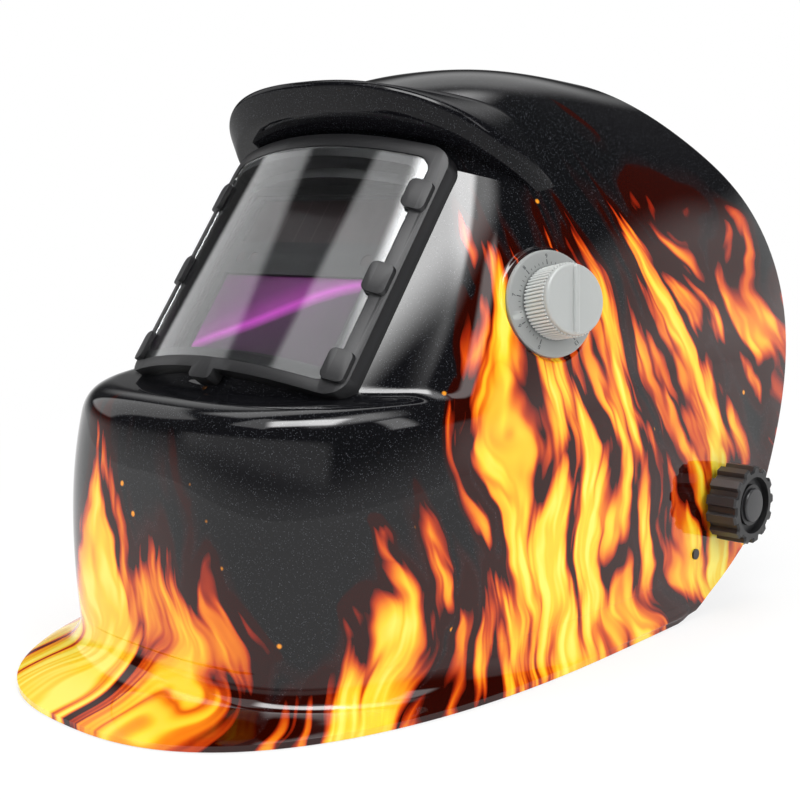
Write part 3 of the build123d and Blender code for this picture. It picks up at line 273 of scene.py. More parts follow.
def new_object(name, vertices, faces):
    """An object at the origin from points in millimetres about the pivot axis."""
    mesh = bpy.data.meshes.new(name)
    mesh.from_pydata(metres(vertices).tolist(), [], [tuple(int(i) for i in f) for f in faces])
    mesh.validate()
    piece = linked(name, mesh)
    smooth(piece)
    return piece


def smooth(piece, sharp=None):
    """Smooth shading, with edges sharper than the angle in degrees kept crisp."""
    mesh = piece.data
    mesh.polygons.foreach_set("use_smooth", [True] * len(mesh.polygons))
    if sharp is not None:
        limit = math.radians(sharp)
        with editing(mesh) as form:
            for edge in form.edges:
                edge.smooth = len(edge.link_faces) == 2 and edge.calc_face_angle(0.0) < limit
    mesh.update()


def outwards(piece):
    """Merge doubles and turn all faces of a closed piece outwards."""
    with editing(piece.data) as form:
        bmesh.ops.remove_doubles(form, verts=form.verts, dist=SAME_POINT)
        bmesh.ops.recalc_face_normals(form, faces=form.faces)


def grid_faces(rows, columns, closed=False):
    """Quads of a grid of points, row by row; closed joins the last column to the first."""
    faces = []
    for row in range(rows - 1):
        for column in range(columns if closed else columns - 1):
            beside = (column + 1) % columns
            a, b = row * columns + column, row * columns + beside
            faces.append((a, b, b + columns, a + columns))
    return faces


def apply_modifiers(piece):
    """Replace a piece's mesh by its evaluated one and drop its modifiers."""
    bpy.context.view_layer.update()
    graph = bpy.context.evaluated_depsgraph_get()
    mesh = bpy.data.meshes.new_from_object(piece.evaluated_get(graph))
    old = piece.data
    piece.modifiers.clear()
    piece.data = mesh
    bpy.data.meshes.remove(old)
    return piece


def reshaped(node, name, change):
    """A piece from a merged copy of a plain node, changed by a function of its bmesh."""
    form = bmesh.new()
    form.from_mesh(frame["nodes"][node].data)
    bmesh.ops.remove_doubles(form, verts=form.verts, dist=2 * SAME_POINT)
    change(form)
    mesh = bpy.data.meshes.new(name)
    form.to_mesh(mesh)
    form.free()
    return linked(name, mesh)


def moulded(node, width, material, corners=None):
    """A copy of a plain node with its sharp edges rounded, which stands for that node."""

    def soften(form):
        bmesh.ops.dissolve_limit(form, angle_limit=math.radians(0.6), verts=form.verts, edges=form.edges)
        if corners:
            chosen, radius = corners(form)
            bmesh.ops.bevel(form, geom=chosen, offset=radius * MM, segments=6, profile=0.5, affect="EDGES")
        limit = math.radians(32.0)
        edges = [e for e in form.edges if len(e.link_faces) == 2 and e.calc_face_angle(0.0) > limit]
        if edges and width > 0:
            how = {"segments": 2, "profile": 0.6, "affect": "EDGES", "clamp_overlap": True}
            bmesh.ops.bevel(form, geom=edges, offset=width * MM, **how)

    piece = reshaped(node, "moulded_" + node, soften)
    smooth(piece, 40.0)
    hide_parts(node)
    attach(piece, frame["nodes"][node]["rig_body"])
    dress(piece, material)
    return piece


def mark_inner_side(piece, outer):
    """Attribute that is 1 on the inside and rim of a wall whose first points are its outside."""
    mask = piece.data.attributes.new("inner_side", "FLOAT", "CORNER")
    values = []
    for face in piece.data.polygons:
        values += [0.0 if max(face.vertices) < outer else 1.0] * len(face.vertices)
    mask.data.foreach_set("value", values)


def revolved(name, profile, segments=96):
    """A closed turned piece on the dial's axis, from (radius, height) in millimetres."""
    turns = np.linspace(0, 2 * math.pi, segments, endpoint=False)
    rings = [[(r * math.cos(t), r * math.sin(t), h) for t in turns] for r, h in profile[1:-1]]
    points = [p for ring in rings for p in ring]
    faces = grid_faces(len(rings), segments, True)
    first, last = len(points), len(points) + 1
    points += [(0.0, 0.0, profile[0][1]), (0.0, 0.0, profile[-1][1])]
    base = (len(rings) - 1) * segments
    for column in range(segments):
        beside = (column + 1) % segments
        faces += [(first, beside, column), (last, base + column, base + beside)]
    piece = new_object(name, dial_point(points), faces)
    outwards(piece)
    smooth(piece, 32.0)
    return piece


def repeat_tree(name, shape, aim):
    """Geometry Nodes: copies of one small form spread along a path."""
    tree = bpy.data.node_groups.new(name, "GeometryNodeTree")
    tree.interface.new_socket("Path", in_out="INPUT", socket_type="NodeSocketGeometry")
    for label, kind in (("Count", "Int"), ("Radius", "Float"), ("Length", "Float"), ("Finish", "Material")):
        tree.interface.new_socket(label, in_out="INPUT", socket_type="NodeSocket" + kind)
    tree.interface.new_socket("Copies", in_out="OUTPUT", socket_type="NodeSocketGeometry")

    def node(kind, **inputs):
        made = tree.nodes.new(kind)
        for key, value in inputs.items():
            target = made.inputs[key.replace("_", " ")]
            if isinstance(value, bpy.types.NodeSocket):
                tree.links.new(value, target)
            else:
                target.default_value = value
        return made

    given = tree.nodes.new("NodeGroupInput").outputs
    path = node("GeometryNodeMeshToCurve", Mesh=given["Path"])
    spread = node("GeometryNodeResampleCurve", Curve=path.outputs[0], Count=given["Count"])
    scale = node("ShaderNodeCombineXYZ", X=given["Radius"], Y=given["Radius"], Z=given["Length"])
    if shape == "stitch":
        unit = node("GeometryNodeMeshUVSphere", Segments=8, Rings=6, Radius=1.0)
    else:
        unit = node("GeometryNodeMeshCylinder", Vertices=12, Radius=1.0, Depth=2.0)
    given_form = {"Points": spread.outputs[0], "Instance": unit.outputs[0], "Scale": scale.outputs[0]}
    copies = node("GeometryNodeInstanceOnPoints", **given_form)
    if aim != "upright":
        way = tree.nodes.new("GeometryNodeInputTangent" if aim == "along" else "GeometryNodeInputPosition")
        turn = tree.nodes.new("FunctionNodeAlignEulerToVector")
        turn.axis = "Z"
        tree.links.new(way.outputs[0], turn.inputs["Vector"])
        tree.links.new(turn.outputs[0], copies.inputs["Rotation"])
    real = node("GeometryNodeRealizeInstances", Geometry=copies.outputs[0])
    finish = node("GeometryNodeSetMaterial", Geometry=real.outputs[0], Material=given["Finish"])
    tree.links.new(finish.outputs[0], tree.nodes.new("NodeGroupOutput").inputs[0])
    return tree


def repeated(name, path, closed, tree, count, radius, length, material, place=None):
    """Copies along a path of points in millimetres, made a plain mesh and then placed by a function."""
    edges = [(i, i + 1) for i in range(len(path) - 1)] + ([(len(path) - 1, 0)] if closed else [])
    mesh = bpy.data.meshes.new(name)
    mesh.from_pydata((np.asarray(path, float) * MM).tolist(), edges, [])
    piece = linked(name, mesh)
    copies = piece.modifiers.new("copies", "NODES")
    copies.node_group = tree
    values = {"Count": count, "Radius": radius * MM, "Length": length * MM, "Finish": material}
    for item in tree.interface.items_tree:
        if item.in_out == "INPUT" and item.name in values:
            copies[item.identifier] = values[item.name]
    apply_modifiers(piece)
    points = get_points(piece.data) / MM
    set_points(piece.data, metres(place(points) if place else points))
    smooth(piece, 50.0)
    return piece


def dial_point(points):
    """Points by their place on the dial, in millimetres: back, up and out of its plane."""
    back = np.array((math.sin(DIAL_TURN), math.cos(DIAL_TURN), 0.0))
    above = np.cross(DIAL_OUT, back)
    points = np.asarray(points, float)
    return DIAL_AT + points[..., :1] * back + points[..., 1:2] * above + points[..., 2:] * DIAL_OUT


def clip_corners(form):
    """Upright corner edges of the six clips of the lens frame."""
    places = window_place(np.array([v.co[:] for v in form.verts]))
    form.verts.index_update()
    chosen = []
    for edge in form.edges:
        a, b = (places[v.index] for v in edge.verts)
        outer = [math.hypot(p[0], p[2] + CURVE_CENTRE) for p in (a, b)]
        upright = abs(a[1] - b[1]) < 0.05 and abs(a[0] - b[0]) < 0.05 and abs(outer[0] - outer[1]) > 0.8
        beside = min(abs(abs(a[1]) - at) for at in CLIP_ENDS)
        if upright and beside < 0.1 and max(outer) > CLIP_RADIUS - 0.1 and abs(a[0]) > CLIP_INSIDE:
            chosen.append(edge)
    return chosen, CLIP_CORNER


def plump(node, voxel, shrink, limit):
    """A padded piece: the plain solid drawn in, remeshed and blown up as cloth."""

    def draw_in(form):
        form.normal_update()
        for vertex in form.verts:
            vertex.co -= vertex.normal * vertex.calc_shell_factor() * shrink * MM

    piece = reshaped(node, "padded_" + node, draw_in)
    remesh = piece.modifiers.new("even mesh", "REMESH")
    remesh.mode, remesh.voxel_size = "VOXEL", voxel * MM
    apply_modifiers(piece)
    start = get_points(piece.data)
    cloth = piece.modifiers.new("cloth", "CLOTH")
    cloth.settings.use_pressure = True
    cloth.settings.uniform_pressure_force = 4.0
    cloth.settings.effector_weights.gravity = 0.0
    cloth.settings.tension_stiffness = cloth.settings.compression_stiffness = 8.0
    cloth.point_cache.frame_start, cloth.point_cache.frame_end = 1, CLOTH_FRAMES
    for frame_number in range(1, CLOTH_FRAMES + 1):
        bpy.context.scene.frame_set(frame_number)
    moves = get_points(piece.evaluated_get(bpy.context.evaluated_depsgraph_get()).data) - start
    reach = np.linalg.norm(moves, axis=1, keepdims=True)
    moves *= np.minimum(1.0, limit * MM / np.maximum(reach, 1e-9))
    piece.modifiers.clear()
    bpy.context.scene.frame_set(1)
    set_points(piece.data, start + moves)
    finer = piece.modifiers.new("finer", "SUBSURF")
    finer.levels = finer.render_levels = 1
    apply_modifiers(piece)
    smooth(piece)
    return piece


def press_seams(piece, distance):
    """Press seams into a padded piece where a function of its places is near nought."""
    with editing(piece.data) as form:
        form.normal_update()
        apart = distance(head_place(np.array([v.co[:] for v in form.verts])))
        press = SEAM_DEPTH * MM * np.exp(-((apart / SEAM_WIDTH) ** 2))
        for vertex, amount in zip(form.verts, press):
            vertex.co -= vertex.normal * amount
    smooth(piece)


def on_surface(piece, starts, ways):
    """Where rays in metres first meet a piece, in millimetres about the pivot axis."""
    found = []
    bpy.context.view_layer.update()
    for start, way in zip(starts, ways):
        hit, place, _, _ = piece.ray_cast(Vector(start), Vector(way))
        if hit:
            found.append(place[:])
    return np.array(found) / MM - np.array((0.0, SHIFT, 0.0))


# ------------------------------------------------------------------ form of the shell
def cubic(xs, ys, x):
    """Natural cubic spline through the given points."""
    xs, ys = np.asarray(xs, float), np.asarray(ys, float)
    count = len(xs)
    step = np.diff(xs)
    system = np.zeros((count, count))
    known = np.zeros(count)
    system[0, 0] = system[-1, -1] = 1.0
    for i in range(1, count - 1):
        system[i, i - 1 : i + 2] = step[i - 1], 2 * (step[i - 1] + step[i]), step[i]
        known[i] = 6 * ((ys[i + 1] - ys[i]) / step[i] - (ys[i] - ys[i - 1]) / step[i - 1])
    bend = np.linalg.solve(system, known)
    x = np.clip(x, xs[0], xs[-1])
    i = np.clip(np.searchsorted(xs, x) - 1, 0, count - 2)
    before, after = x - xs[i], xs[i + 1] - x
    return (
        (bend[i] * after**3 + bend[i + 1] * before**3) / (6 * step[i])
        + (ys[i] / step[i] - bend[i] * step[i] / 6) * after
        + (ys[i + 1] / step[i] - bend[i + 1] * step[i] / 6) * before
    )


def soft_min(a, b, radius):
    """Lower of two values, rounded where they meet."""
    share = np.maximum(radius - np.abs(a - b), 0.0) / radius
    return np.minimum(a, b) - share * share * radius / 4


def soft_max(a, b, radius):
    """Higher of two values, rounded where they meet."""
    return -soft_min(-a, -b, radius)


def height_above(x, away, half, reach, power):
    """Height above an oval section of the given half width, reach and roundness."""
    size = ((np.abs(x) / half) ** power + (away / reach) ** power) ** (1 / power)
    return np.hypot(x, away) * (1 - 1 / np.maximum(size, 1e-3))


def body_depth(x, y, z):
    """Height above the shell's swept body, along its sections."""
    back, up = y - SWEEP_Y, z - SWEEP_Z
    out = np.hypot(back, up)
    angle = np.degrees(np.arctan2(up, back))
    angle = np.where(angle < -60, angle + 360, angle)
    reach = cubic(STATIONS[:, 0], STATIONS[:, 1], angle) - SWEEP_CORE
    half = HALF_WIDTH + cubic(STATIONS[:, 0], STATIONS[:, 2], angle)
    power = cubic(STATIONS[:, 0], STATIONS[:, 3], angle)
    return height_above(x, np.maximum(out - SWEEP_CORE, 0.0), half, reach, power)


def flare_depth(x, y, z):
    """Height above the spreading lip, square to its slope."""
    heights, fronts, halves = FLARE[:, 0], FLARE[:, 1], FLARE[:, 2]
    low = np.clip(z, 0.0, 2.4)
    front = cubic(heights, fronts, z) - np.maximum(z - heights[-1], 0) * 0.9
    half = cubic(heights, halves, z) - np.maximum(z - heights[-1], 0) * 0.3
    slope = (cubic(heights, fronts, z - 0.4) - cubic(heights, fronts, z + 0.4)) / 0.8
    slope = np.where(z > heights[-1], 0.9, slope) * np.clip(low / 2.0, 0.02, 1.0)
    away = np.maximum(RIM_Y - y, 0.0)
    front, half = np.maximum(front + RIM_Y, 20.0), np.maximum(half, 20.0)
    depth = height_above(x, away, half, front, FLARE_POWER) / np.hypot(1.0, slope)
    return np.where(z > 50.0, 60.0, depth)


def shell_depth(points):
    """Signed height above the shell's outside, with its window face, ledge and lip."""
    x, y, z = points[..., 0], points[..., 1], points[..., 2]
    up, out = leaned(y - WINDOW_Y, z - WINDOW_Z)
    face = np.hypot(x, out + CURVE_CENTRE) - FACE_RADIUS
    face = np.where(out + CURVE_CENTRE < 0, -50.0, face)
    notch = soft_min(face, z - LEDGE_HEIGHT, 3.0)
    notch = np.minimum(notch, FACE_TOP - up)
    body = soft_max(body_depth(x, y, z), notch, 11.0)
    return soft_min(body, flare_depth(x, y, z), 7.0)


def narrowed(low, high, steps, past):
    """Halve spans; past tells for their middles whether the place sought lies before them."""
    for _ in range(steps):
        middle = (low + high) / 2
        beyond = past(middle)
        high = np.where(beyond, middle, high)
        low = np.where(beyond, low, middle)
    return low, high


def shoot(start, direction, near, far, steps=34):
    """First crossing of the shell's outside along rays, as distances."""
    low = np.full(direction.shape[:-1], near)
    high = np.full(direction.shape[:-1], far)
    found = np.zeros(direction.shape[:-1], bool)
    before = np.full(direction.shape[:-1], near)
    for distance in np.linspace(near, far, steps)[1:]:
        outside = shell_depth(start + direction * distance) > 0
        first = outside & ~found
        low = np.where(first, before, low)
        high = np.where(first, distance, high)
        found |= outside
        before = np.where(found, before, distance)
    low, high = narrowed(low, high, 16, lambda at: shell_depth(start + direction * at[..., None]) > 0)
    return (low + high) / 2, found


def seen_outside(rays, sunk=0.0):
    """Places where rays from the eye leave the shell, or so far short of that."""
    distance, _ = shoot(EYE, rays, 55.0, 330.0)
    return EYE + rays * (distance - sunk)[..., None]


def sight(points):
    """Rays from the eye to points, one unit long."""
    rays = points - EYE
    return rays / np.linalg.norm(rays, axis=-1, keepdims=True)


def swung(first, last, swing, step):
    """Rays a part of the way from the first to the last, along the arc between them."""
    return (np.sin((1 - step) * swing) * first[None] + np.sin(step * swing) * last[None]) / np.sin(swing)


def arc_resample(points, count, weight=None):
    """Points spread evenly along a line, or by a weight at each of its points."""
    gaps = np.linalg.norm(np.diff(points, axis=0), axis=1)
    if weight is not None:
        gaps = gaps * (weight[1:] + weight[:-1]) / 2
    run = np.concatenate([[0.0], np.cumsum(gaps)])
    wanted = np.linspace(0, run[-1], count)
    return np.stack([np.interp(wanted, run, points[:, axis]) for axis in range(3)], axis=1)


EYE = np.array((0.0, -40.0, 20.0))  # rays that find the shell's outside start here


def half_outer_edge(count):
    """The shell's free edge on the left: along the rim, then up the rear edge to the crown."""
    turns = np.radians(np.linspace(-90, 2.2, 500))
    across = np.stack([np.cos(turns), np.sin(turns), np.zeros_like(turns)], axis=1)
    start = np.array((0.0, -40.0, 0.05))
    reach, _ = shoot(start, across, 20.0, 300.0, 60)
    rim = start + across * reach[:, None]
    rim[:, 2] = 0.0
    rim[0, 0] = 0.0
    run = np.concatenate([[0.0], np.cumsum(np.hypot(*np.diff(REAR_EDGE, axis=0).T))])
    steps = np.linspace(0, run[-1], 900)
    edge_y, edge_z = cubic(run, REAR_EDGE[:, 0], steps), cubic(run, REAR_EDGE[:, 1], steps)
    start = np.stack([np.zeros_like(steps), edge_y, edge_z], axis=1)
    sideways = np.tile((1.0, 0.0, 0.0), (len(steps), 1))
    inside = shell_depth(start) < 0
    reach, _ = shoot(start, sideways, 0.0, 140.0, 60)
    last = int(np.argmin(inside)) if not inside.all() else len(steps)
    rear = start[:last] + sideways[:last] * reach[:last, None]
    crown = start[last - 1] * 0.5 + start[min(last, len(steps) - 1)] * 0.5
    crown[0] = 0.0
    rear = np.concatenate([rear[1:], [crown]])
    return arc_resample(np.concatenate([rim, rear]), count)


def half_opening(count):
    """Edge of the window opening on the left, from its lowest to its highest point."""
    half, bottom, top = OPENING
    corner = 4.0
    line = [(0.0, bottom)]
    for x, up, first in ((half - corner, bottom + corner, -90), (half - corner, top - corner, 0)):
        for turn in np.radians(np.linspace(first, first + 90, 7)):
            line.append((x + corner * math.cos(turn), up + corner * math.sin(turn)))
    line.append((0.0, top))
    line = arc_resample(np.array([(x, up, 0.0) for x, up in line]), 800)
    points = [window_point(x, up, math.sqrt(FACE_RADIUS**2 - x * x) - CURVE_CENTRE) for x, up, _ in line]
    points = np.array(points)
    return arc_resample(points, count)


def azimuth(points, across, over):
    """Angle of points about the line from the eye to the window, by the two directions beside it."""
    rays = points - EYE
    return np.arctan2(rays @ across, -(rays @ over))


def shell_grid(columns, rows):
    """Points of the shell's outside, from the window opening to its free edge."""
    outer = half_outer_edge(columns)
    over = np.array((0.0, 0.7766, 0.63))
    across = np.array((1.0, 0.0, 0.0))
    fine = half_opening(2000)
    fine_turn = azimuth(fine, across, over)
    fine_turn = np.maximum.accumulate(fine_turn)
    turn = azimuth(outer, across, over)
    # columns lean towards an even spread along the opening
    even = np.linspace(0, 1, columns)
    fine_run = np.linspace(0, 1, len(fine))
    by_turn = np.interp(turn, fine_turn, fine_run)
    share = 0.75 * by_turn + 0.25 * even
    inner = np.stack([np.interp(share, fine_run, fine[:, axis]) for axis in range(3)], axis=1)
    inner[0, 0] = inner[-1, 0] = 0.0
    first, last = sight(inner), sight(outer)
    dense = 420
    swing = np.arccos(np.clip((first * last).sum(1), -1, 1))[None, :, None]
    step = np.linspace(0, 1, dense)[:, None, None]
    lines = seen_outside(swung(first, last, swing, step))
    lines[0], lines[-1] = inner, outer
    # rows gather where the surface bends
    heading = np.diff(lines, axis=0)
    length = np.linalg.norm(heading, axis=2, keepdims=True)
    heading = heading / np.maximum(length, 1e-6)
    bend = np.linalg.norm(np.diff(heading, axis=0), axis=2)
    bend = np.concatenate([bend[:1], bend, bend[-1:]])
    gap = np.concatenate([length[..., 0], length[-1:, :, 0]])
    density = gap * 0.22 + np.minimum(bend, 0.5) * 9.0
    for _ in range(3):
        padded = np.pad(density, ((6, 6), (0, 0)), mode="edge")
        density = sum(padded[i : i + dense] for i in range(13)) / 13
        padded = np.pad(density, ((0, 0), (8, 8)), mode="reflect")
        density = sum(padded[:, i : i + columns] for i in range(17)) / 17
    run = np.cumsum(density, axis=0)
    run = (run - run[0]) / (run[-1] - run[0])
    wanted = np.linspace(0, 1, rows)
    known = np.linspace(0, 1, dense)
    place = np.stack([np.interp(wanted, run[:, c], known) for c in range(columns)], axis=1)
    points = seen_outside(swung(first, last, swing, place[..., None]))
    points[0], points[-1] = inner, outer
    return points


def mirrored_grid(points):
    """Close a half grid into a ring of columns by mirroring it."""
    right = points[:, ::-1][:, 1:-1].copy()
    right[..., 0] *= -1
    return np.concatenate([points, right], axis=1)


def dial_seat_depth(points):
    """Shell's outside with the flat seat of the dial let into it."""
    place = points - DIAL_AT
    height = place @ DIAL_OUT
    radius = np.linalg.norm(place - height[..., None] * DIAL_OUT, axis=-1)
    pocket = np.maximum(radius - SEAT_RADIUS, SEAT_HEIGHT - height)
    boss = np.maximum(radius - SEAT_RADIUS - 0.5, height - SEAT_HEIGHT)
    solid = soft_min(shell_depth(points), np.where(height > -6, boss, 50.0), 1.6)
    return soft_max(solid, -pocket, 1.2)


def sink_dial_seat(piece):
    """Refine the painted shell round the dial and lay it on the flat seat."""
    centre = Vector(metres(DIAL_AT))
    with editing(piece.data) as form:
        near = [e for e in form.edges if all((v.co - centre).length < 0.031 for v in e.verts)]
        bmesh.ops.subdivide_edges(form, edges=near, cuts=5, use_grid_fill=True)
        touched = [v for v in form.verts if (v.co - centre).length < 0.034]
        places = np.array([v.co[:] for v in touched]) / MM - np.array((0.0, SHIFT, 0.0))
        low, high = np.full(len(places), -9.0), np.full(len(places), 9.0)
        low, high = narrowed(low, high, 22, lambda at: dial_seat_depth(places + DIAL_OUT * at[:, None]) > 0)
        places = metres(places + DIAL_OUT * ((low + high) / 2)[:, None])
        for vertex, place in zip(touched, places):
            vertex.co = place


def rounded_corner(before, corner, after, radius, steps=6):
    """Rows of points that round a corner between two neighbouring rows."""
    rows = []
    ends = []
    for beside in (before, after):
        way = beside - corner
        length = np.linalg.norm(way, axis=1, keepdims=True)
        ends.append(corner + way / np.maximum(length, 1e-6) * np.minimum(radius, 0.45 * length))
    for share in np.linspace(0, 1, steps):
        first = ends[0] + (corner - ends[0]) * share
        last = corner + (ends[1] - corner) * share
        rows.append(first + (last - first) * share)
    return rows


def brim_mesh_points(columns=241):
    """Rows of points round the brim: underside, rounded front edge and top, both ends in the wall."""

    def outline(level, turns):
        up, reach, half = level
        across = half * np.sign(np.sin(turns)) * np.abs(np.sin(turns)) ** (2 / BRIM_POWER)
        out = (reach + BRIM_BACK) * np.abs(np.cos(turns)) ** (2 / BRIM_POWER) - BRIM_BACK
        return np.stack(window_point(across, np.full_like(across, up), out), axis=-1)

    turns = np.radians(np.linspace(0, 89.9, 900))
    ends = shell_depth(outline(BRIM_PROFILE[1], turns)) > -1.0
    limit = turns[int(np.argmin(ends)) - 1]
    turns = limit * np.sin(np.linspace(-math.pi / 2, math.pi / 2, columns))
    rows = [outline(level, turns) for level in BRIM_PROFILE]

    def sink(start, finish, depth):
        """Where lines from start to finish first reach a depth in the wall."""
        low, high = np.zeros(columns), np.ones(columns)
        for distance in np.linspace(0, 1, 160):
            inside = shell_depth(start + (finish - start) * distance) < depth
            high = np.where(inside & (high > distance), distance, high)
        low = np.maximum(high - 1 / 159, 0.0)
        way = finish - start
        low, high = narrowed(low, high, 14, lambda at: shell_depth(start + way * at[:, None]) < depth)
        return start + way * high[:, None]

    inward = np.array(window_point(0, 0, -60.0)) - np.array(window_point(0, 0, 0.0))
    under = sink(rows[0], rows[0] + inward, -1.2)
    # the top stops just proud of the shell, in an even step
    top = sink(rows[2], rows[3] + (rows[3] - rows[2]) * 0.3, 0.35)
    root = top - sight(top) * 1.9
    lines = [under]
    lines += rounded_corner(under, rows[0], rows[1], 2.0, 4)
    lines += rounded_corner(rows[0], rows[1], rows[2], 1.3)
    lines += rounded_corner(rows[1], rows[2], top, 1.3)
    for share in np.linspace(0, 1, 8)[1:-1]:
        lines.append(rows[2] + (top - rows[2]) * (0.1 + 0.85 * share))
    lines += rounded_corner(rows[2], top, root, 0.5, 4)
    lines.append(root)
    for share in np.linspace(0, 1, 6)[1:-1]:
        lines.append(seen_outside(sight(root + (under - root) * share), 1.3))
    return np.array(lines)


# ------------------------------------------------------------------ finishes
def operation_of(name, turned=False):
    """A method that adds a Math node; turned puts the value itself last."""

    def method(self, *others):
        return self.finish.maths(name, *((*others, self) if turned else (self, *others)))

    return method


class Value:
    """A shader socket or number that adds Math nodes when it is calculated with."""

    def __init__(self, finish, socket):
        self.finish, self.socket = finish, socket

    __add__ = __radd__ = operation_of("ADD")
    __mul__ = __rmul__ = operation_of("MULTIPLY")
    __sub__, __rsub__ = operation_of("SUBTRACT"), operation_of("SUBTRACT", True)
    __truediv__, __rtruediv__ = operation_of("DIVIDE"), operation_of("DIVIDE", True)
    __pow__, __abs__ = operation_of("POWER"), operation_of("ABSOLUTE")

    def above(self, low, high):
        """0 below low, 1 above high, smooth between them."""
        sockets = {"Value": self, "From Min": low, "From Max": high}
        return self.finish.add("ShaderNodeMapRange", {"interpolation_type": "SMOOTHSTEP"}, sockets)

    def held(self):
        """Kept between 0 and 1."""
        return self.finish.maths("ADD", self, 0.0, clamp=True)


class Graph:
    """Adds nodes to a shader tree."""

    def __init__(self, tree, place="Object"):
        self.tree = tree
        self.place = self.add("ShaderNodeTexCoord", {}, {}, place)

    def socket(self, target, value):
        """Give a socket a value or a link."""
        if isinstance(value, Value):
            self.tree.links.new(value.socket, target)
        elif hasattr(target.default_value, "__len__") and not isinstance(value, (int, float)):
            value = tuple(value)
            size = len(target.default_value)
            target.default_value = (value + (1.0,))[:size] if len(value) < size else value[:size]
        else:
            target.default_value = value

    def add(self, kind, settings, sockets, output=0):
        """One node with its settings and sockets, as the value of one output."""
        node = self.tree.nodes.new(kind)
        for key, value in settings.items():
            setattr(node, key, value)
        for key, value in sockets.items():
            self.socket(node.inputs[key], value)
        return Value(self, node.outputs[output])

    def maths(self, operation, *values, clamp=False):
        node = self.tree.nodes.new("ShaderNodeMath")
        node.operation, node.use_clamp = operation, clamp
        for target, value in zip(node.inputs, values):
            self.socket(target, value)
        return Value(self, node.outputs[0])

    def parts(self, vector=None):
        """The three numbers of a vector."""
        node = self.tree.nodes.new("ShaderNodeSeparateXYZ")
        self.socket(node.inputs[0], vector or self.place)
        return [Value(self, out) for out in node.outputs]

    def vector(self, x, y, z):
        return self.add("ShaderNodeCombineXYZ", {}, {"X": x, "Y": y, "Z": z})

    def noise(self, scale, detail=2.0, vector=None):
        sockets = {"Vector": vector or self.place, "Scale": scale, "Detail": detail}
        return self.add("ShaderNodeTexNoise", {}, sockets, "Fac")

    def cells(self, scale, output="Distance"):
        return self.add("ShaderNodeTexVoronoi", {}, {"Vector": self.place, "Scale": scale}, output)

    def ray(self, kind):
        """What sort of ray is being traced."""
        return self.add("ShaderNodeLightPath", {}, {}, kind)

    def ramp(self, value, stops, between="LINEAR"):
        """Colour by value from (position, colour) stops."""
        node = self.tree.nodes.new("ShaderNodeValToRGB")
        node.color_ramp.interpolation = between
        elements = node.color_ramp.elements
        while len(elements) < len(stops):
            elements.new(0.5)
        for element, (position, colour) in zip(elements, stops):
            element.position = position
            element.color = (*colour, 1.0)
        self.socket(node.inputs[0], value)
        return Value(self, node.outputs[0])

    def mix(self, share, first, second):
        node = self.tree.nodes.new("ShaderNodeMix")
        node.data_type = "RGBA"
        for key, value in ((0, share), (6, first), (7, second)):
            self.socket(node.inputs[key], value)
        return Value(self, node.outputs[2])

    def along(self, vector, direction):
        """How far a vector reaches in a direction."""
        settings = {"operation": "DOT_PRODUCT"}
        return self.add("ShaderNodeVectorMath", settings, {0: vector, 1: direction}, "Value")


class Finish(Graph):
    """A procedural material built round one Principled shader."""

    def __init__(self, name, rough=0.5, metal=0.0, coat=0.0, coat_rough=0.05, ior=1.5):
        self.material = bpy.data.materials.new(name)
        self.material.use_nodes = True
        super().__init__(self.material.node_tree)
        self.shader = self.tree.nodes["Principled BSDF"]
        self.set(**{"Roughness": rough, "Metallic": metal, "Coat Weight": coat})
        self.set(**{"Coat Roughness": coat_rough, "IOR": ior})

    def set(self, **sockets):
        for key, value in sockets.items():
            self.socket(self.shader.inputs[key], value)

    def colour(self, value):
        self.set(**{"Base Color": value})

    def bump(self, height, distance, strength):
        sockets = {"Height": height, "Distance": distance, "Strength": strength}
        self.set(Normal=self.add("ShaderNodeBump", {}, sockets))


def wear_by_edge(finish):
    """Mask of edges that stand proud of their surroundings, where a painted highlight and rubbing make them
    paler.
    """
    return finish.add("ShaderNodeNewGeometry", {}, {}, "Pointiness").above(0.52, 0.62)


# height of the flames, in metres, by the angle round the shell from its front, left side positive
FLAME_HEIGHTS = (
    (-140.0, 0.150), (-95.0, 0.110), (-60.0, 0.170), (-38.0, 0.040), (-22.0, 0.085), (-6.0, 0.120),
    (8.0, 0.085), (19.0, 0.062), (28.0, 0.002), (36.0, 0.040), (50.0, 0.100), (63.0, 0.125),
    (77.0, 0.255), (94.0, 0.280), (110.0, 0.190), (124.0, 0.230), (150.0, 0.200),
)


EMBER_CELLS = 95.0  # embers fly in cells of this scale


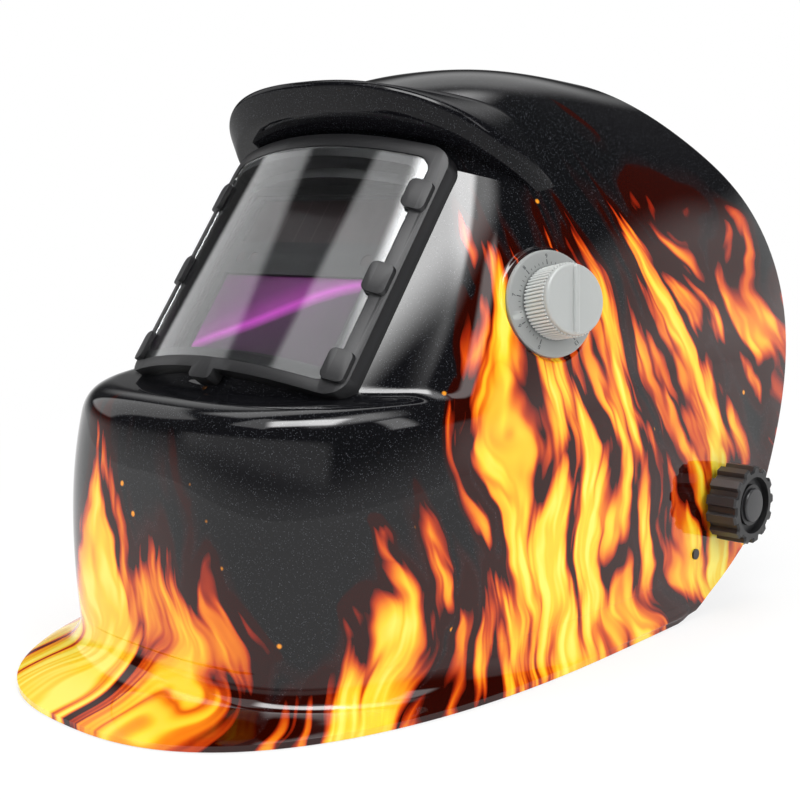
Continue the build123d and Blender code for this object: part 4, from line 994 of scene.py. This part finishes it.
def flame_layout(finish):
    """Painted flames: how far a place lies inside a tongue, its inner streaks and its height share."""
    x, y, z = finish.parts()
    turn = finish.maths("ARCTAN2", x, -0.02 - y) * (180.0 / math.pi)
    first, last = FLAME_HEIGHTS[0][0], FLAME_HEIGHTS[-1][0]
    stops = [((t - first) / (last - first), (5.0 * h,) * 3) for t, h in FLAME_HEIGHTS]
    height = finish.parts(finish.ramp((turn - first) / (last - first), stops, "B_SPLINE"))[0] / 5.0
    run = turn * 0.0021
    climb = z / (height + 0.004)
    sway = finish.noise(9.0, 1.0, finish.vector(run, z * 0.9, 0.0)) - 0.5
    curl = finish.noise(34.0, 2.0, finish.vector(run, z * 0.8, 0.3)) - 0.5
    low = 1.0 - z.above(0.004, 0.03)
    ripple = (finish.noise(21.0, 0.0) - 0.5) * low * 0.04
    along = run + sway * 0.075 + curl * 0.016 + z * 0.10 + ripple
    large = finish.noise(24.0, 0.0, finish.vector(along, z * 0.20, 8.4))
    small = finish.noise(70.0, 1.0, finish.vector(along, z * 0.22, 2.7))
    streak = finish.noise(120.0, 2.0, finish.vector(along, z * 0.16, 4.1))
    split = finish.noise(50.0, 1.0, finish.vector(along, z * 0.26, 9.1))
    gaps = 1.0 - (abs(split * 2.0 - 1.0) * 5.0).held()
    tongue = (large - 0.5) * 2.6 + (small - 0.5) * 2.3 - gaps * 0.55
    inside = tongue + 0.98 - climb * 0.95 - (z.above(0.15, 0.20) + climb.above(0.9, 1.6)) * 0.8
    streaks = 1.0 - abs(streak * 2.0 - 1.0) * 3.0
    return inside, streaks, climb


def metallic_black(finish, colour):
    """Black paint with fine flakes."""
    flakes = finish.parts(finish.cells(3800.0, "Color"))[0].above(0.93, 1.0)
    return finish.mix(flakes * 0.3, colour, (0.16, 0.17, 0.19))


def brim_paint(colours):
    """The shell's gloss black, a little flatter, without flames."""
    finish = Finish("brim gloss paint", rough=0.4, coat=0.45, coat_rough=0.012)
    finish.set(**{"Specular IOR Level": 0.0, "Coat IOR": 1.45})
    finish.colour(metallic_black(finish, tuple(colours.shell)))
    finish.bump(finish.noise(120.0, 2.0), 0.00003, 0.4)
    return finish.material


def shell_paint(colours):
    """Gloss black with fine metallic flakes and flames painted along the rim and sides."""
    finish = Finish("shell gloss paint", rough=0.4, coat=1.0, coat_rough=0.012)
    finish.set(**{"Specular IOR Level": 0.0, "Coat IOR": 1.45})
    inside, streaks, climb = flame_layout(finish)
    glow = inside.above(-0.05, 1.25) * 1.05 - streaks.above(0.1, 1.0) * 0.34 - climb.above(0.3, 1.5) * 0.22
    flames = finish.ramp(
        glow,
        [
            (0.00, (0.020, 0.001, 0.000)),
            (0.10, (0.230, 0.012, 0.002)),
            (0.24, (0.560, 0.060, 0.004)),
            (0.40, (0.780, 0.200, 0.008)),
            (0.56, (0.840, 0.390, 0.014)),
            (0.76, (0.860, 0.600, 0.032)),
            (1.00, (0.880, 0.750, 0.120)),
        ],
    )
    black = metallic_black(finish, tuple(colours.shell))
    haze = inside.above(-0.40, 0.1) * 0.15 * (1.0 - climb.above(0.6, 1.1))
    smoke = finish.mix(haze, black, (0.16, 0.012, 0.002))
    rare = finish.parts(finish.cells(EMBER_CELLS, "Color"))[1].above(0.72, 0.74)
    embers = (1.0 - finish.cells(EMBER_CELLS).above(0.06, 0.13)) * rare * inside.above(-1.3, -0.5)
    smoke = finish.mix(embers, smoke, (0.85, 0.30, 0.02))
    painted = finish.mix(inside.above(-0.02, 0.07), smoke, flames)
    bare = finish.add("ShaderNodeAttribute", {"attribute_name": "inner_side"}, {}, "Fac")
    finish.colour(finish.mix(bare, painted, (0.013, 0.013, 0.014)))
    finish.set(Roughness=0.4 + bare * (0.16 + 0.08 * finish.noise(40.0, 2.0)))
    finish.set(**{"Coat Weight": 1.0 - bare * 0.97})
    grain = finish.noise(900.0, 1.0) * bare
    finish.bump(finish.noise(170.0, 2.0) + grain * 1.5, 0.00003, 0.4)
    return finish.material


def satin_plastic(name, colour, rough, grain=900.0, sheen=0.5):
    """Moulded plastic: fine grain, uneven sheen, and edges painted a little paler as a highlight and as
    rubbing.
    """
    finish = Finish(name, rough=rough)
    finish.set(**{"Specular IOR Level": sheen})
    cloud = finish.noise(22.0, 3.0)
    # paler colour on the edges: a painted highlight along them, and rubbing
    pale = [min(1.0, c * 2.2 + 0.03) for c in colour]
    uneven = finish.mix(cloud * 0.5, colour, [c * 0.72 for c in colour])
    finish.colour(finish.mix(wear_by_edge(finish) * 0.35, uneven, pale))
    finish.set(Roughness=rough - 0.06 + cloud * 0.14)
    finish.bump(finish.noise(grain, 2.0) + finish.cells(grain * 0.6) * 0.4, 0.00004, 0.6)
    return finish.material


def clear_polycarbonate():
    """Clear cover lens with a trace of grey."""
    finish = Finish("clear polycarbonate", rough=0.02, ior=1.58)
    finish.set(**{"Base Color": (0.92, 0.94, 0.95), "Transmission Weight": 1.0})
    finish.set(Roughness=0.015 + finish.noise(30.0, 4.0).above(0.55, 0.8) * 0.03)
    return finish.material


def filter_coating():
    """Dark interference coating of the welding filter, violet, with a slanting magenta highlight painted
    into its colour.
    """
    finish = Finish("filter coating", rough=0.35)
    x, _, z = finish.parts()
    wave = (finish.noise(16.0, 1.0) - 0.5) * 0.006
    above = z + wave - 0.1415 - x * 0.31 + x * x * 1.2
    # the bright magenta band across the coating is a painted highlight, a painted reflection of the coating
    sheen = finish.ramp(
        above * 30.0 + 0.5,
        [
            (0.0, (0.030, 0.006, 0.028)),
            (0.38, (0.050, 0.008, 0.048)),
            (0.50, (0.62, 0.06, 0.56)),
            (0.57, (0.28, 0.026, 0.25)),
            (0.78, (0.14, 0.015, 0.125)),
            (1.0, (0.10, 0.012, 0.090)),
        ],
    )
    finish.colour(sheen)
    finish.bump(finish.noise(90.0, 1.0), 0.00002, 0.3)
    return finish.material


def solar_coating():
    """Thin-film solar cell: near-black brown with fine upright scribe lines."""
    finish = Finish("solar cell film", rough=0.3, coat=0.15)
    x = finish.parts()[0]
    lines = finish.maths("FRACT", x * 95.0 + 50.0)
    scribe = 1.0 - abs(lines - 0.5).above(0.005, 0.03)
    cloud = finish.noise(40.0, 2.0)
    base = finish.mix(cloud, (0.012, 0.006, 0.007), (0.028, 0.012, 0.012))
    finish.colour(finish.mix(scribe, base, (0.07, 0.05, 0.05)))
    finish.bump(scribe, 0.00003, 0.4)
    return finish.material


def plated_steel(name="plated steel"):
    """Bright plated steel with fine turning marks."""
    finish = Finish(name, rough=0.28, metal=1.0)
    x, y, z = finish.parts()
    fine = finish.noise(1400.0, 1.0, finish.vector(x * 0.05, y, z))
    bright = (0.62, 0.62, 0.61)
    finish.colour(finish.mix(finish.noise(60.0, 2.0) * 0.5, bright, [c * 0.7 for c in bright]))
    finish.set(Roughness=0.22 + fine * 0.2)
    finish.bump(fine, 0.00002, 0.5)
    return finish.material


def circuit_laminate():
    """Green laminate with darker tracks."""
    finish = Finish("circuit laminate", rough=0.35, coat=0.4)
    x, _, z = finish.parts()
    tracks = finish.maths("FRACT", x * 160.0 + z * 40.0).above(0.6, 0.66)
    finish.colour(finish.mix(tracks, (0.01, 0.09, 0.035), (0.02, 0.16, 0.06)))
    finish.bump(tracks, 0.00005, 0.5)
    return finish.material


def padding_cloth(name="padding cloth", colour=(0.03, 0.03, 0.034)):
    """Woven sweat cloth: two crossed thread rows with a soft sheen."""
    finish = Finish(name, rough=0.9)
    finish.set(**{"Sheen Weight": 0.35, "Sheen Roughness": 0.5})
    x, y, z = finish.parts()
    warp = finish.maths("SINE", (x + y * 0.6) * 5200.0)
    weft = finish.maths("SINE", z * 5200.0)
    weave = warp * weft * 0.5 + 0.5
    cloud = finish.noise(55.0, 3.0)
    dark = [c * 0.55 for c in colour]
    pale = [c * 1.5 + 0.01 for c in colour]
    finish.colour(finish.mix((weave * 0.6 + cloud * 0.4).held(), dark, pale))
    finish.bump(weave, 0.00012, 0.7)
    return finish.material


def floor_paper():
    """White paper that keeps the object's shadow and runs out into the white background."""
    finish = Finish("pale floor", rough=0.85)
    finish.colour((0.86, 0.86, 0.86))
    x, y, _ = finish.parts()
    reach = (x * x + y * y) ** 0.5
    seen = finish.ray("Is Camera Ray")
    mirrored = finish.ray("Is Glossy Ray")
    through = finish.ray("Is Transmission Ray")
    share = (seen + mirrored + through).held() * (0.80 + 0.20 * reach.above(0.22, 0.75))
    white = finish.add("ShaderNodeEmission", {}, {"Color": (1.0, 1.0, 1.0), "Strength": 1.0})
    blend = finish.tree.nodes.new("ShaderNodeMixShader")
    finish.socket(blend.inputs[0], share)
    finish.tree.links.new(finish.shader.outputs[0], blend.inputs[1])
    finish.tree.links.new(white.socket, blend.inputs[2])
    finish.tree.links.new(blend.outputs[0], finish.tree.nodes["Material Output"].inputs[0])
    return finish.material


def studio_light(tree):
    """White background, even fill, and soft boxes that gloss and glass reflect."""
    studio = Graph(tree, "Generated")
    height = studio.parts()[2]
    shine = 0.75 * (1.0 - height.above(-0.02, 0.26)) ** 2.0
    for turn, rise, wide, high, soft, power in SOFT_BOXES:
        turn, rise = math.radians(turn), math.radians(rise)
        ahead = Vector((math.cos(rise) * math.cos(turn), math.cos(rise) * math.sin(turn), math.sin(rise)))
        across = Vector((-math.sin(turn), math.cos(turn), 0.0))
        above = ahead.cross(across)
        depth = studio.along(studio.place, ahead)
        inside = depth.above(0.05, 0.2)
        for direction, half in ((across, wide), (above, high)):
            limit = math.tan(math.radians(half))
            edge = math.tan(math.radians(half + soft))
            offset = abs(studio.along(studio.place, direction) / studio.maths("MAXIMUM", depth, 0.05))
            inside = inside * (1.0 - offset.above(limit, edge))
        shine = inside * power + shine
    seen = studio.ray("Is Camera Ray")
    through = studio.ray("Is Transmission Ray")
    mirrored = studio.ray("Is Glossy Ray")
    reflections = studio.ray("Glossy Depth").held()
    scatters = studio.ray("Diffuse Depth").held()
    plain = (seen + through * (1.0 - reflections) * (1.0 - scatters)).held()
    gloss = (mirrored + through * reflections).held()
    strength = plain + (1.0 - plain) * (gloss * (shine + 0.04) + (1.0 - gloss) * 0.5)
    background = tree.nodes["Background"]
    background.inputs["Color"].default_value = (1.0, 1.0, 1.0, 1.0)
    studio.socket(background.inputs["Strength"], strength)


def dress(piece, material):
    """Give a piece or node one material."""
    piece.data.materials.clear()
    piece.data.materials.append(material)
    return piece


def seat(piece, body, material):
    """Finish, material slot and body of a new piece."""
    dress(piece, material)
    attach(piece, body)
    return piece


# ------------------------------------------------------------------ what a user may change
def whole(name, text, value):
    return bpy.props.IntProperty(name=name, description=text, default=value)


def tint(name, text, value):
    return bpy.props.FloatVectorProperty(name=name, description=text, default=value, subtype="COLOR")


class HelmetSizes(bpy.types.PropertyGroup):
    """Sizes of the modelled detail."""

    columns: whole("Shell columns", "Columns of points on half the shell", 150)
    rows: whole("Shell rows", "Rows of points from the window to the free edge", 110)
    wall: bpy.props.FloatProperty(
        name="Wall", description="Thickness of the moulded shell", default=WALL * MM, unit="LENGTH"
    )
    edge: bpy.props.FloatProperty(
        name="Edge", description="Rounding of moulded edges", default=0.5, min=0.1, max=1.0
    )
    ribs: whole("Dial ribs", "Grip ribs round the shade knob", 60)
    stitches: whole("Stitches", "Stitches in each row of the sweatband", 58)


class HelmetColours(bpy.types.PropertyGroup):
    """Colours of the finishes."""

    shell: tint("Shell", "Base of the gloss paint", (0.004, 0.004, 0.005))
    frame: tint("Lens frame", "Satin plastic round the window", (0.010, 0.010, 0.011))
    dial: tint("Dial", "Shade dial and its plate", (0.27, 0.28, 0.275))
    knob: tint("Knobs", "Tension knobs", (0.012, 0.012, 0.013))
    headgear: tint("Headgear", "Bands, straps and arms", (0.018, 0.018, 0.02))


# ------------------------------------------------------------------ small forms
DIAL_FACE, NUMBER_RADIUS = 2.85, 18.5
RIB_RING, RIB_MIDDLE = 13.82, 9.1
# bar across the cap: its plan, its turn, and its rounded side as inset and height
RIDGE_HALF_LENGTH, RIDGE_HALF_WIDTH, RIDGE_TURN = 13.2, 1.3, math.radians(80.0)
RIDGE_SIDE = ((0.0, 16.8), (0.0, 17.7), (0.12, 17.98), (0.4, 18.2), (0.8, 18.3))
# turned forms of the dial, as radius and height
DIAL_PLATE = (
    (0.0, 0.85), (20.2, 0.85), (21.0, 0.95), (21.0, 2.05), (20.8, 2.45), (20.3, 2.75), (19.9, DIAL_FACE),
    (14.6, DIAL_FACE), (14.5, 2.7), (0.0, 2.7),
)
DIAL_KNOB = (
    (0.0, 15.5), (3.05, 15.5), (3.05, 7.15), (11.4, 7.15), (11.4, 3.15), (13.3, 3.15), (13.6, 3.4),
    (13.6, 14.6), (13.75, 14.9), (13.75, 15.9), (13.6, 16.5), (13.2, 16.95), (12.6, 17.15),
    (11.6, 17.1), (0.0, 17.0),
)


def flexed_lens():
    """Cover lens: a thin sheet with rounded corners, flexed about an upright axis."""
    node = frame["nodes"]["cover_lens"]
    places = window_place(np.array([v.co[:] for v in node.data.vertices]))
    outer = np.hypot(places[:, 0], places[:, 2] + CURVE_CENTRE)
    radius, thickness, corner = outer.max(), outer.max() - outer.min(), 6.0
    half = np.abs(places[:, 0]).max()
    low, high = places[:, 1].min(), places[:, 1].max()
    near_end = corner * np.linspace(0, 1, 7) ** 2
    rows = np.unique(np.concatenate([np.linspace(low, high, 31), low + near_end, high - near_end]).round(4))
    points = []
    for up in rows:
        into = max(low + corner - up, up - high + corner, 0.0)
        width = half - corner + math.sqrt(max(corner**2 - into**2, 0.0))
        for across in np.linspace(-width, width, 61):
            points.append(window_point(across, up, math.sqrt(radius**2 - across**2) - CURVE_CENTRE))
    piece = new_object("flexed_cover_lens", points, grid_faces(len(rows), 61))
    wall = piece.modifiers.new("wall", "SOLIDIFY")
    wall.thickness, wall.offset, wall.use_even_offset = thickness * MM, -1.0, False
    face = piece.data.polygons[0]
    ahead = Vector((0, -math.cos(LEAN), math.sin(LEAN)))
    if face.normal.dot(ahead) < 0:
        piece.data.flip_normals()
    apply_modifiers(piece)
    smooth(piece, 40.0)
    return piece


def pointer_ridge():
    """Rounded bar across the cap of the shade knob."""
    half, width, turn = RIDGE_HALF_LENGTH, RIDGE_HALF_WIDTH, RIDGE_TURN
    rings = []
    for inset, height in RIDGE_SIDE:
        ring = []
        for end in (1, -1):
            for angle in np.linspace(-90, 90, 9):
                bend = math.radians(angle) + (0 if end > 0 else math.pi)
                reach = width - inset
                ring.append((end * (half - width) + reach * math.cos(bend), reach * math.sin(bend), height))
        rings.append(ring)
    points = np.array(rings).reshape(-1, 3)
    spin = np.array(((math.cos(turn), -math.sin(turn), 0), (math.sin(turn), math.cos(turn), 0), (0, 0, 1)))
    count = len(rings[0])
    faces = grid_faces(len(rings), count, True)
    faces += [tuple(range(count))[::-1], tuple(range(count * (len(rings) - 1), count * len(rings)))]
    piece = new_object("dial_pointer_ridge", dial_point(points @ spin.T), faces)
    outwards(piece)
    smooth(piece, 40.0)
    return piece


def dial_numbers():
    """Plain numbers of the shade scale, standing a little proud of the plate."""
    made = []
    for step, number in enumerate(range(5, 14)):
        turn = math.radians(240 - step * 300 / 8)
        words = bpy.data.curves.new("number", "FONT")
        words.body, words.size, words.extrude = str(number), 2.3, 0.06
        words.align_x, words.align_y = "CENTER", "CENTER"
        letters = bpy.data.objects.new("number", words)
        mesh = bpy.data.meshes.new_from_object(letters)
        bpy.data.objects.remove(letters)
        spin = Matrix.Rotation(turn - math.pi / 2, 4, "Z")
        reach = NUMBER_RADIUS * math.cos(turn), NUMBER_RADIUS * math.sin(turn)
        place = Matrix.Translation((*reach, DIAL_FACE + 0.04))
        mesh.transform(place @ spin)
        made.append(mesh)
    marker = bmesh.new()
    for mesh in made:
        marker.from_mesh(mesh)
        bpy.data.meshes.remove(mesh)
    bmesh.ops.remove_doubles(marker, verts=marker.verts, dist=1e-5)
    mesh = bpy.data.meshes.new("dial_numbers")
    marker.to_mesh(mesh)
    marker.free()
    set_points(mesh, metres(dial_point(get_points(mesh))))
    piece = linked("dial_numbers", mesh)
    outwards(piece)
    return piece


# ------------------------------------------------------------------ pieces
class HELMET_OT_shell(bpy.types.Operator):
    """Painted shell with its window opening, ledge and spreading lip"""

    bl_idname = "helmet.shell"
    bl_label = "Shell"

    def execute(self, context):
        sizes, colours = context.scene.helmet_sizes, context.scene.helmet_colours
        paint = shell_paint(colours)
        grid = mirrored_grid(shell_grid(sizes.columns, sizes.rows))
        rows, columns = grid.shape[:2]
        piece = new_object("painted_shell", grid.reshape(-1, 3), grid_faces(rows, columns, True))
        with editing(piece.data) as form:
            bmesh.ops.remove_doubles(form, verts=form.verts, dist=SAME_POINT)
            form.normal_update()
            middle = Vector((0, 0.03, 0.05))
            outward = sum(1 for f in form.faces if f.normal.dot(f.calc_center_median() - middle) > 0)
            if outward < len(form.faces) / 2:
                bmesh.ops.reverse_faces(form, faces=form.faces)
        sink_dial_seat(piece)
        wall = piece.modifiers.new("wall", "SOLIDIFY")
        wall.thickness, wall.offset, wall.use_even_offset = sizes.wall, -1.0, False
        outer = len(piece.data.vertices)
        apply_modifiers(piece)
        smooth(piece, 50.0)
        mark_inner_side(piece, outer)
        seat(piece, "shell", paint)
        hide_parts("shell")

        lines = brim_mesh_points()
        brim = new_object("brim", lines.reshape(-1, 3), grid_faces(len(lines), lines.shape[1]))
        count = lines.shape[1]
        last = (len(lines) - 1) * count
        with editing(brim.data) as form:
            form.verts.ensure_lookup_table()
            for column in range(count - 1):
                corners = (last + column, last + column + 1, column + 1, column)
                form.faces.new([form.verts[i] for i in corners])
            for column in (0, count - 1):
                form.faces.new([form.verts[row * count + column] for row in range(len(lines))])
        outwards(brim)
        smooth(brim, 50.0)
        seat(brim, "shell", brim_paint(colours))
        return {"FINISHED"}


class HELMET_OT_window(bpy.types.Operator):
    """Lens frame with its clips, cover lens, filter holder and cartridge"""

    bl_idname = "helmet.window"
    bl_label = "Window"

    def execute(self, context):
        sizes, colours = context.scene.helmet_sizes, context.scene.helmet_colours
        nodes = frame["nodes"]
        satin = satin_plastic("satin frame plastic", tuple(colours.frame), 0.42, sheen=0.3)
        inner = satin_plastic("satin inner plastic", (0.012, 0.012, 0.013), 0.5)
        moulded("lens_frame", sizes.edge, satin, clip_corners)
        lens = flexed_lens()
        seat(lens, nodes["cover_lens"]["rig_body"], clear_polycarbonate())
        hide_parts("cover_lens")
        for node in ("filter_holder", "filter_latch", "filter_housing", "filter_back_cover"):
            moulded(node, 0.35, inner)
        dress(nodes["lcd_filter_glass"], filter_coating())
        dress(nodes["solar_cell"], solar_coating())
        dress(nodes["circuit_board"], circuit_laminate())
        dress(nodes["inner_cover_lens"], clear_polycarbonate())
        dress(nodes["battery_cell"], plated_steel())
        dress(nodes["arc_sensors"], solar_coating())
        for node in ("sensitivity_knob", "delay_knob"):
            moulded(node, 0.4, inner)
        return {"FINISHED"}


class HELMET_OT_dial(bpy.types.Operator):
    """Shade dial with its plate, knob and potentiometer"""

    bl_idname = "helmet.dial"
    bl_label = "Shade dial"

    def execute(self, context):
        sizes, colours = context.scene.helmet_sizes, context.scene.helmet_colours
        nodes = frame["nodes"]
        grey = satin_plastic("satin dial plastic", tuple(colours.dial), 0.42)
        ink = satin_plastic("dial marks", (0.035, 0.036, 0.04), 0.5)
        pale = satin_plastic("satin knob plastic", [min(1.0, c * 1.45) for c in colours.dial], 0.36)
        plate = revolved("dial_plate", DIAL_PLATE)
        seat(plate, "shell", grey)
        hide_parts("shade_dial_plate")
        knob = revolved("dial_knob", DIAL_KNOB)
        ridge = pointer_ridge()
        upright = repeat_tree("upright ribs", "rib", "upright")
        outward = repeat_tree("scale marks", "rib", "outward")
        circle = [(math.cos(t), math.sin(t)) for t in np.linspace(0, 2 * math.pi, 120, endpoint=False)]
        path = [(RIB_RING * a, RIB_RING * b, 0.0) for a, b in circle]
        raised = np.array((0.0, 0.0, RIB_MIDDLE))
        form = (0.5, 5.7, pale, lambda points: dial_point(points + raised))
        ribs = repeated("dial_knob_ribs", path, True, upright, sizes.ribs, *form)
        for piece in (knob, ridge, ribs):
            seat(piece, "shade_knob", pale)
        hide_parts("shade_knob")
        sweep = np.radians(np.linspace(-60, 240, 121))
        on_face = np.array((0.0, 0.0, DIAL_FACE))
        for name, count, radius, half, length in (
            ("dial_fine_marks", 41, 15.9, 0.13, 0.45),
            ("dial_marks", 9, 16.3, 0.2, 0.95),
        ):
            path = [(radius * math.cos(t), radius * math.sin(t), 0.0) for t in sweep]
            form = (half, length, ink, lambda points: dial_point(points * (1, 1, 0.5) + on_face))
            seat(repeated(name, path, False, outward, count, *form), "shell", ink)
        seat(dial_numbers(), "shell", ink)
        steel = plated_steel("dial steel")
        for node in ("shade_nut", "shade_potentiometer", "shade_shaft"):
            dress(nodes[node], steel)
        dress(nodes["shade_pot_cover"], satin_plastic("cover plastic", (0.012, 0.012, 0.013), 0.5))
        return {"FINISHED"}


class HELMET_OT_pivots(bpy.types.Operator):
    """Stop plates, washers, bolts, and tension knobs with their caps"""

    bl_idname = "helmet.pivots"
    bl_label = "Pivots"

    def execute(self, context):
        colours = context.scene.helmet_colours
        nodes = frame["nodes"]
        rubbery = satin_plastic("moulded knob plastic", tuple(colours.knob), 0.46, 700.0)
        cap = satin_plastic("cap plastic", (0.03, 0.03, 0.032), 0.4)
        nylon = satin_plastic("nylon", (0.012, 0.012, 0.012), 0.38)
        for side in ("left", "right"):
            moulded("tension_knob_" + side, 0.0, rubbery)
            moulded("knob_cap_" + side, 0.3, cap)
            dress(nodes["stop_plate_" + side], nylon)
        dress(nodes["pivot_washers"], nylon)
        dress(nodes["pivot_bolts"], plated_steel("bolt steel"))
        return {"FINISHED"}


class HELMET_OT_headgear(bpy.types.Operator):
    """Side arms, headband, crown straps and the ratchet"""

    bl_idname = "helmet.headgear"
    bl_label = "Headgear"

    def execute(self, context):
        sizes, colours = context.scene.helmet_sizes, context.scene.helmet_colours
        plastic = satin_plastic("headgear plastic", tuple(colours.headgear), 0.44)
        names = ["side_arm_left", "side_arm_right", "headband", "band_tail_left", "band_tail_right"]
        names += [f"crown_strap_{row}_{side}" for row in ("front", "rear") for side in ("left", "right")]
        names += ["ratchet_housing", "ratchet_cover", "ratchet_pinion", "band_rivets", "ratchet_knob"]
        for node in names:
            width = 0.3 if "strap" in node or "tail" in node else sizes.edge
            moulded(node, 0.0 if node == "ratchet_knob" else width, plastic)
        return {"FINISHED"}


class HELMET_OT_pads(bpy.types.Operator):
    """Padded sweatband and nape pad with their stitching"""

    bl_idname = "helmet.pads"
    bl_label = "Pads"

    def execute(self, context):
        sizes = context.scene.helmet_sizes
        cloth, thread = padding_cloth(), padding_cloth("stitching thread", (0.10, 0.10, 0.105))
        row = repeat_tree("stitches", "stitch", "along")

        band = plump("sweatband", 1.7, 1.0, 0.9)
        seam_level = PAD_HALF - SEAM_INSET
        press_seams(band, lambda p: np.abs(np.abs(p[:, 2] - BAND_MIDDLE) - seam_level))
        pad = plump("nape_pad", 1.5, 0.9, 0.8)
        centre = head_place([np.mean([v.co[:] for v in pad.data.vertices], axis=0)])[0]

        def from_edge(p):
            """Distance from the seam that runs 4 mm inside the nape pad's outline."""
            across = np.maximum(np.abs(p[:, 0]) - NAPE_ACROSS, 0.0)
            above = np.maximum(np.abs(p[:, 2] - centre[2]) - NAPE_ABOVE, 0.0)
            return np.abs(np.hypot(across, above) - NAPE_ROUND)

        press_seams(pad, from_edge)
        for piece, node in ((band, "sweatband"), (pad, "nape_pad")):
            seat(piece, frame["nodes"][node]["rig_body"], cloth)
            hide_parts(node)

        turns = np.radians(np.linspace(-66, 66, 120))
        ahead = -np.cos(turns)
        ways = np.stack([np.sin(turns), ahead * math.cos(TILT), -ahead * math.sin(TILT)], axis=1)
        form = (STITCH_RADIUS, STITCH_LENGTH, thread)
        for name, level in (
            ("sweatband_upper_stitches", seam_level),
            ("sweatband_lower_stitches", -seam_level),
        ):
            start = metres(np.array([head_point(0.0, -30.0, BAND_MIDDLE + level)]))[0]
            path = on_surface(band, [start] * len(ways), ways)
            stitches = repeated(name, path, False, row, sizes.stitches, *form)
            seat(stitches, frame["nodes"]["sweatband"]["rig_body"], thread)
        starts = []
        for quarter, (side, rise) in enumerate(((1, 1), (-1, 1), (-1, -1), (1, -1))):
            for turn in np.radians(np.linspace(90 * quarter, 90 * quarter + 90, 8)):
                x = side * NAPE_ACROSS + NAPE_ROUND * math.cos(turn)
                z = rise * NAPE_ABOVE + NAPE_ROUND * math.sin(turn)
                starts.append(metres(np.array([head_point(x, centre[1] - 20.0, centre[2] + z)]))[0])
        path = on_surface(pad, starts, [(0.0, math.cos(TILT), -math.sin(TILT))] * len(starts))
        stitches = repeated("nape_pad_stitches", path, True, row, int(sizes.stitches * 0.9), *form)
        seat(stitches, frame["nodes"]["nape_pad"]["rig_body"], thread)
        return {"FINISHED"}


class HELMET_OT_stage(bpy.types.Operator):
    """Pale floor, soft studio light and the camera"""

    bl_idname = "helmet.stage"
    bl_label = "Stage"

    def execute(self, context):
        scene = context.scene
        camera = bpy.data.cameras.new("camera")
        camera.lens, camera.sensor_width, camera.clip_start = VIEW_LENS, VIEW_SENSOR, 0.01
        viewer = linked("camera", camera)
        turn = Matrix(VIEW_AXES).transposed().to_4x4()
        viewer.matrix_world = Matrix.Translation(VIEW_PLACE) @ turn
        scene.camera = viewer

        around = ((-1, -1), (1, -1), (1, 1), (-1, 1))
        corners = [(x * FLOOR_HALF, y * FLOOR_HALF, FLOOR_DROP) for x, y in around]
        floor_mesh = bpy.data.meshes.new("floor")
        floor_mesh.from_pydata(corners, [], [(0, 1, 2, 3)])
        floor = linked("floor", floor_mesh)
        dress(floor, floor_paper())
        floor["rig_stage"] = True

        world = bpy.data.worlds.new("studio")
        scene.world = world
        world.use_nodes = True
        studio_light(world.node_tree)

        for name, place, size, power in LAMPS:
            lamp = bpy.data.lights.new(name, "AREA")
            lamp.shape, lamp.size, lamp.size_y, lamp.energy = "RECTANGLE", size[0], size[1], power
            light = linked(name, lamp)
            light.visible_glossy = False
            light.location = place
            light.rotation_euler = (LIT_POINT - Vector(place)).to_track_quat("-Z", "Y").to_euler()
        scene.view_settings.view_transform = "Standard"
        return {"FINISHED"}


class HELMET_PT_pieces(bpy.types.Panel):
    """Lists the pieces and what may be changed"""

    bl_idname = "HELMET_PT_pieces"
    bl_label = "Welding helmet"
    bl_space_type = "VIEW_3D"
    bl_region_type = "UI"
    bl_category = "Helmet"

    def draw(self, context):
        for group in (context.scene.helmet_sizes, context.scene.helmet_colours):
            for key in group.bl_rna.properties.keys():
                if key not in ("rna_type", "name"):
                    self.layout.prop(group, key)
        for operator in OPERATORS:
            self.layout.operator(operator.bl_idname)


OPERATORS = (
    HELMET_OT_stage,
    HELMET_OT_shell,
    HELMET_OT_window,
    HELMET_OT_dial,
    HELMET_OT_pivots,
    HELMET_OT_headgear,
    HELMET_OT_pads,
)
CLASSES = (HelmetSizes, HelmetColours, *OPERATORS, HELMET_PT_pieces)


def register():
    for cls in CLASSES:
        bpy.utils.register_class(cls)
    bpy.types.Scene.helmet_sizes = bpy.props.PointerProperty(type=HelmetSizes)
    bpy.types.Scene.helmet_colours = bpy.props.PointerProperty(type=HelmetColours)


def unregister():
    del bpy.types.Scene.helmet_sizes, bpy.types.Scene.helmet_colours
    for cls in reversed(CLASSES):
        bpy.utils.unregister_class(cls)


def main():
    for leftover in [o for o in bpy.data.objects if o.type in {"CAMERA", "LIGHT"} or o.name == "Cube"]:
        bpy.data.objects.remove(leftover)
    register()
    for step in ("stage", "shell", "window", "dial", "pivots", "headgear", "pads"):
        getattr(bpy.ops.helmet, step)()
    sizes = {"cad": CAD_BOX, "visual": [list(corner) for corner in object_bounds()]}
    sizes = {key: [[float(v) for v in corner] for corner in value] for key, value in sizes.items()}


if __name__ == "__main__":
    main()
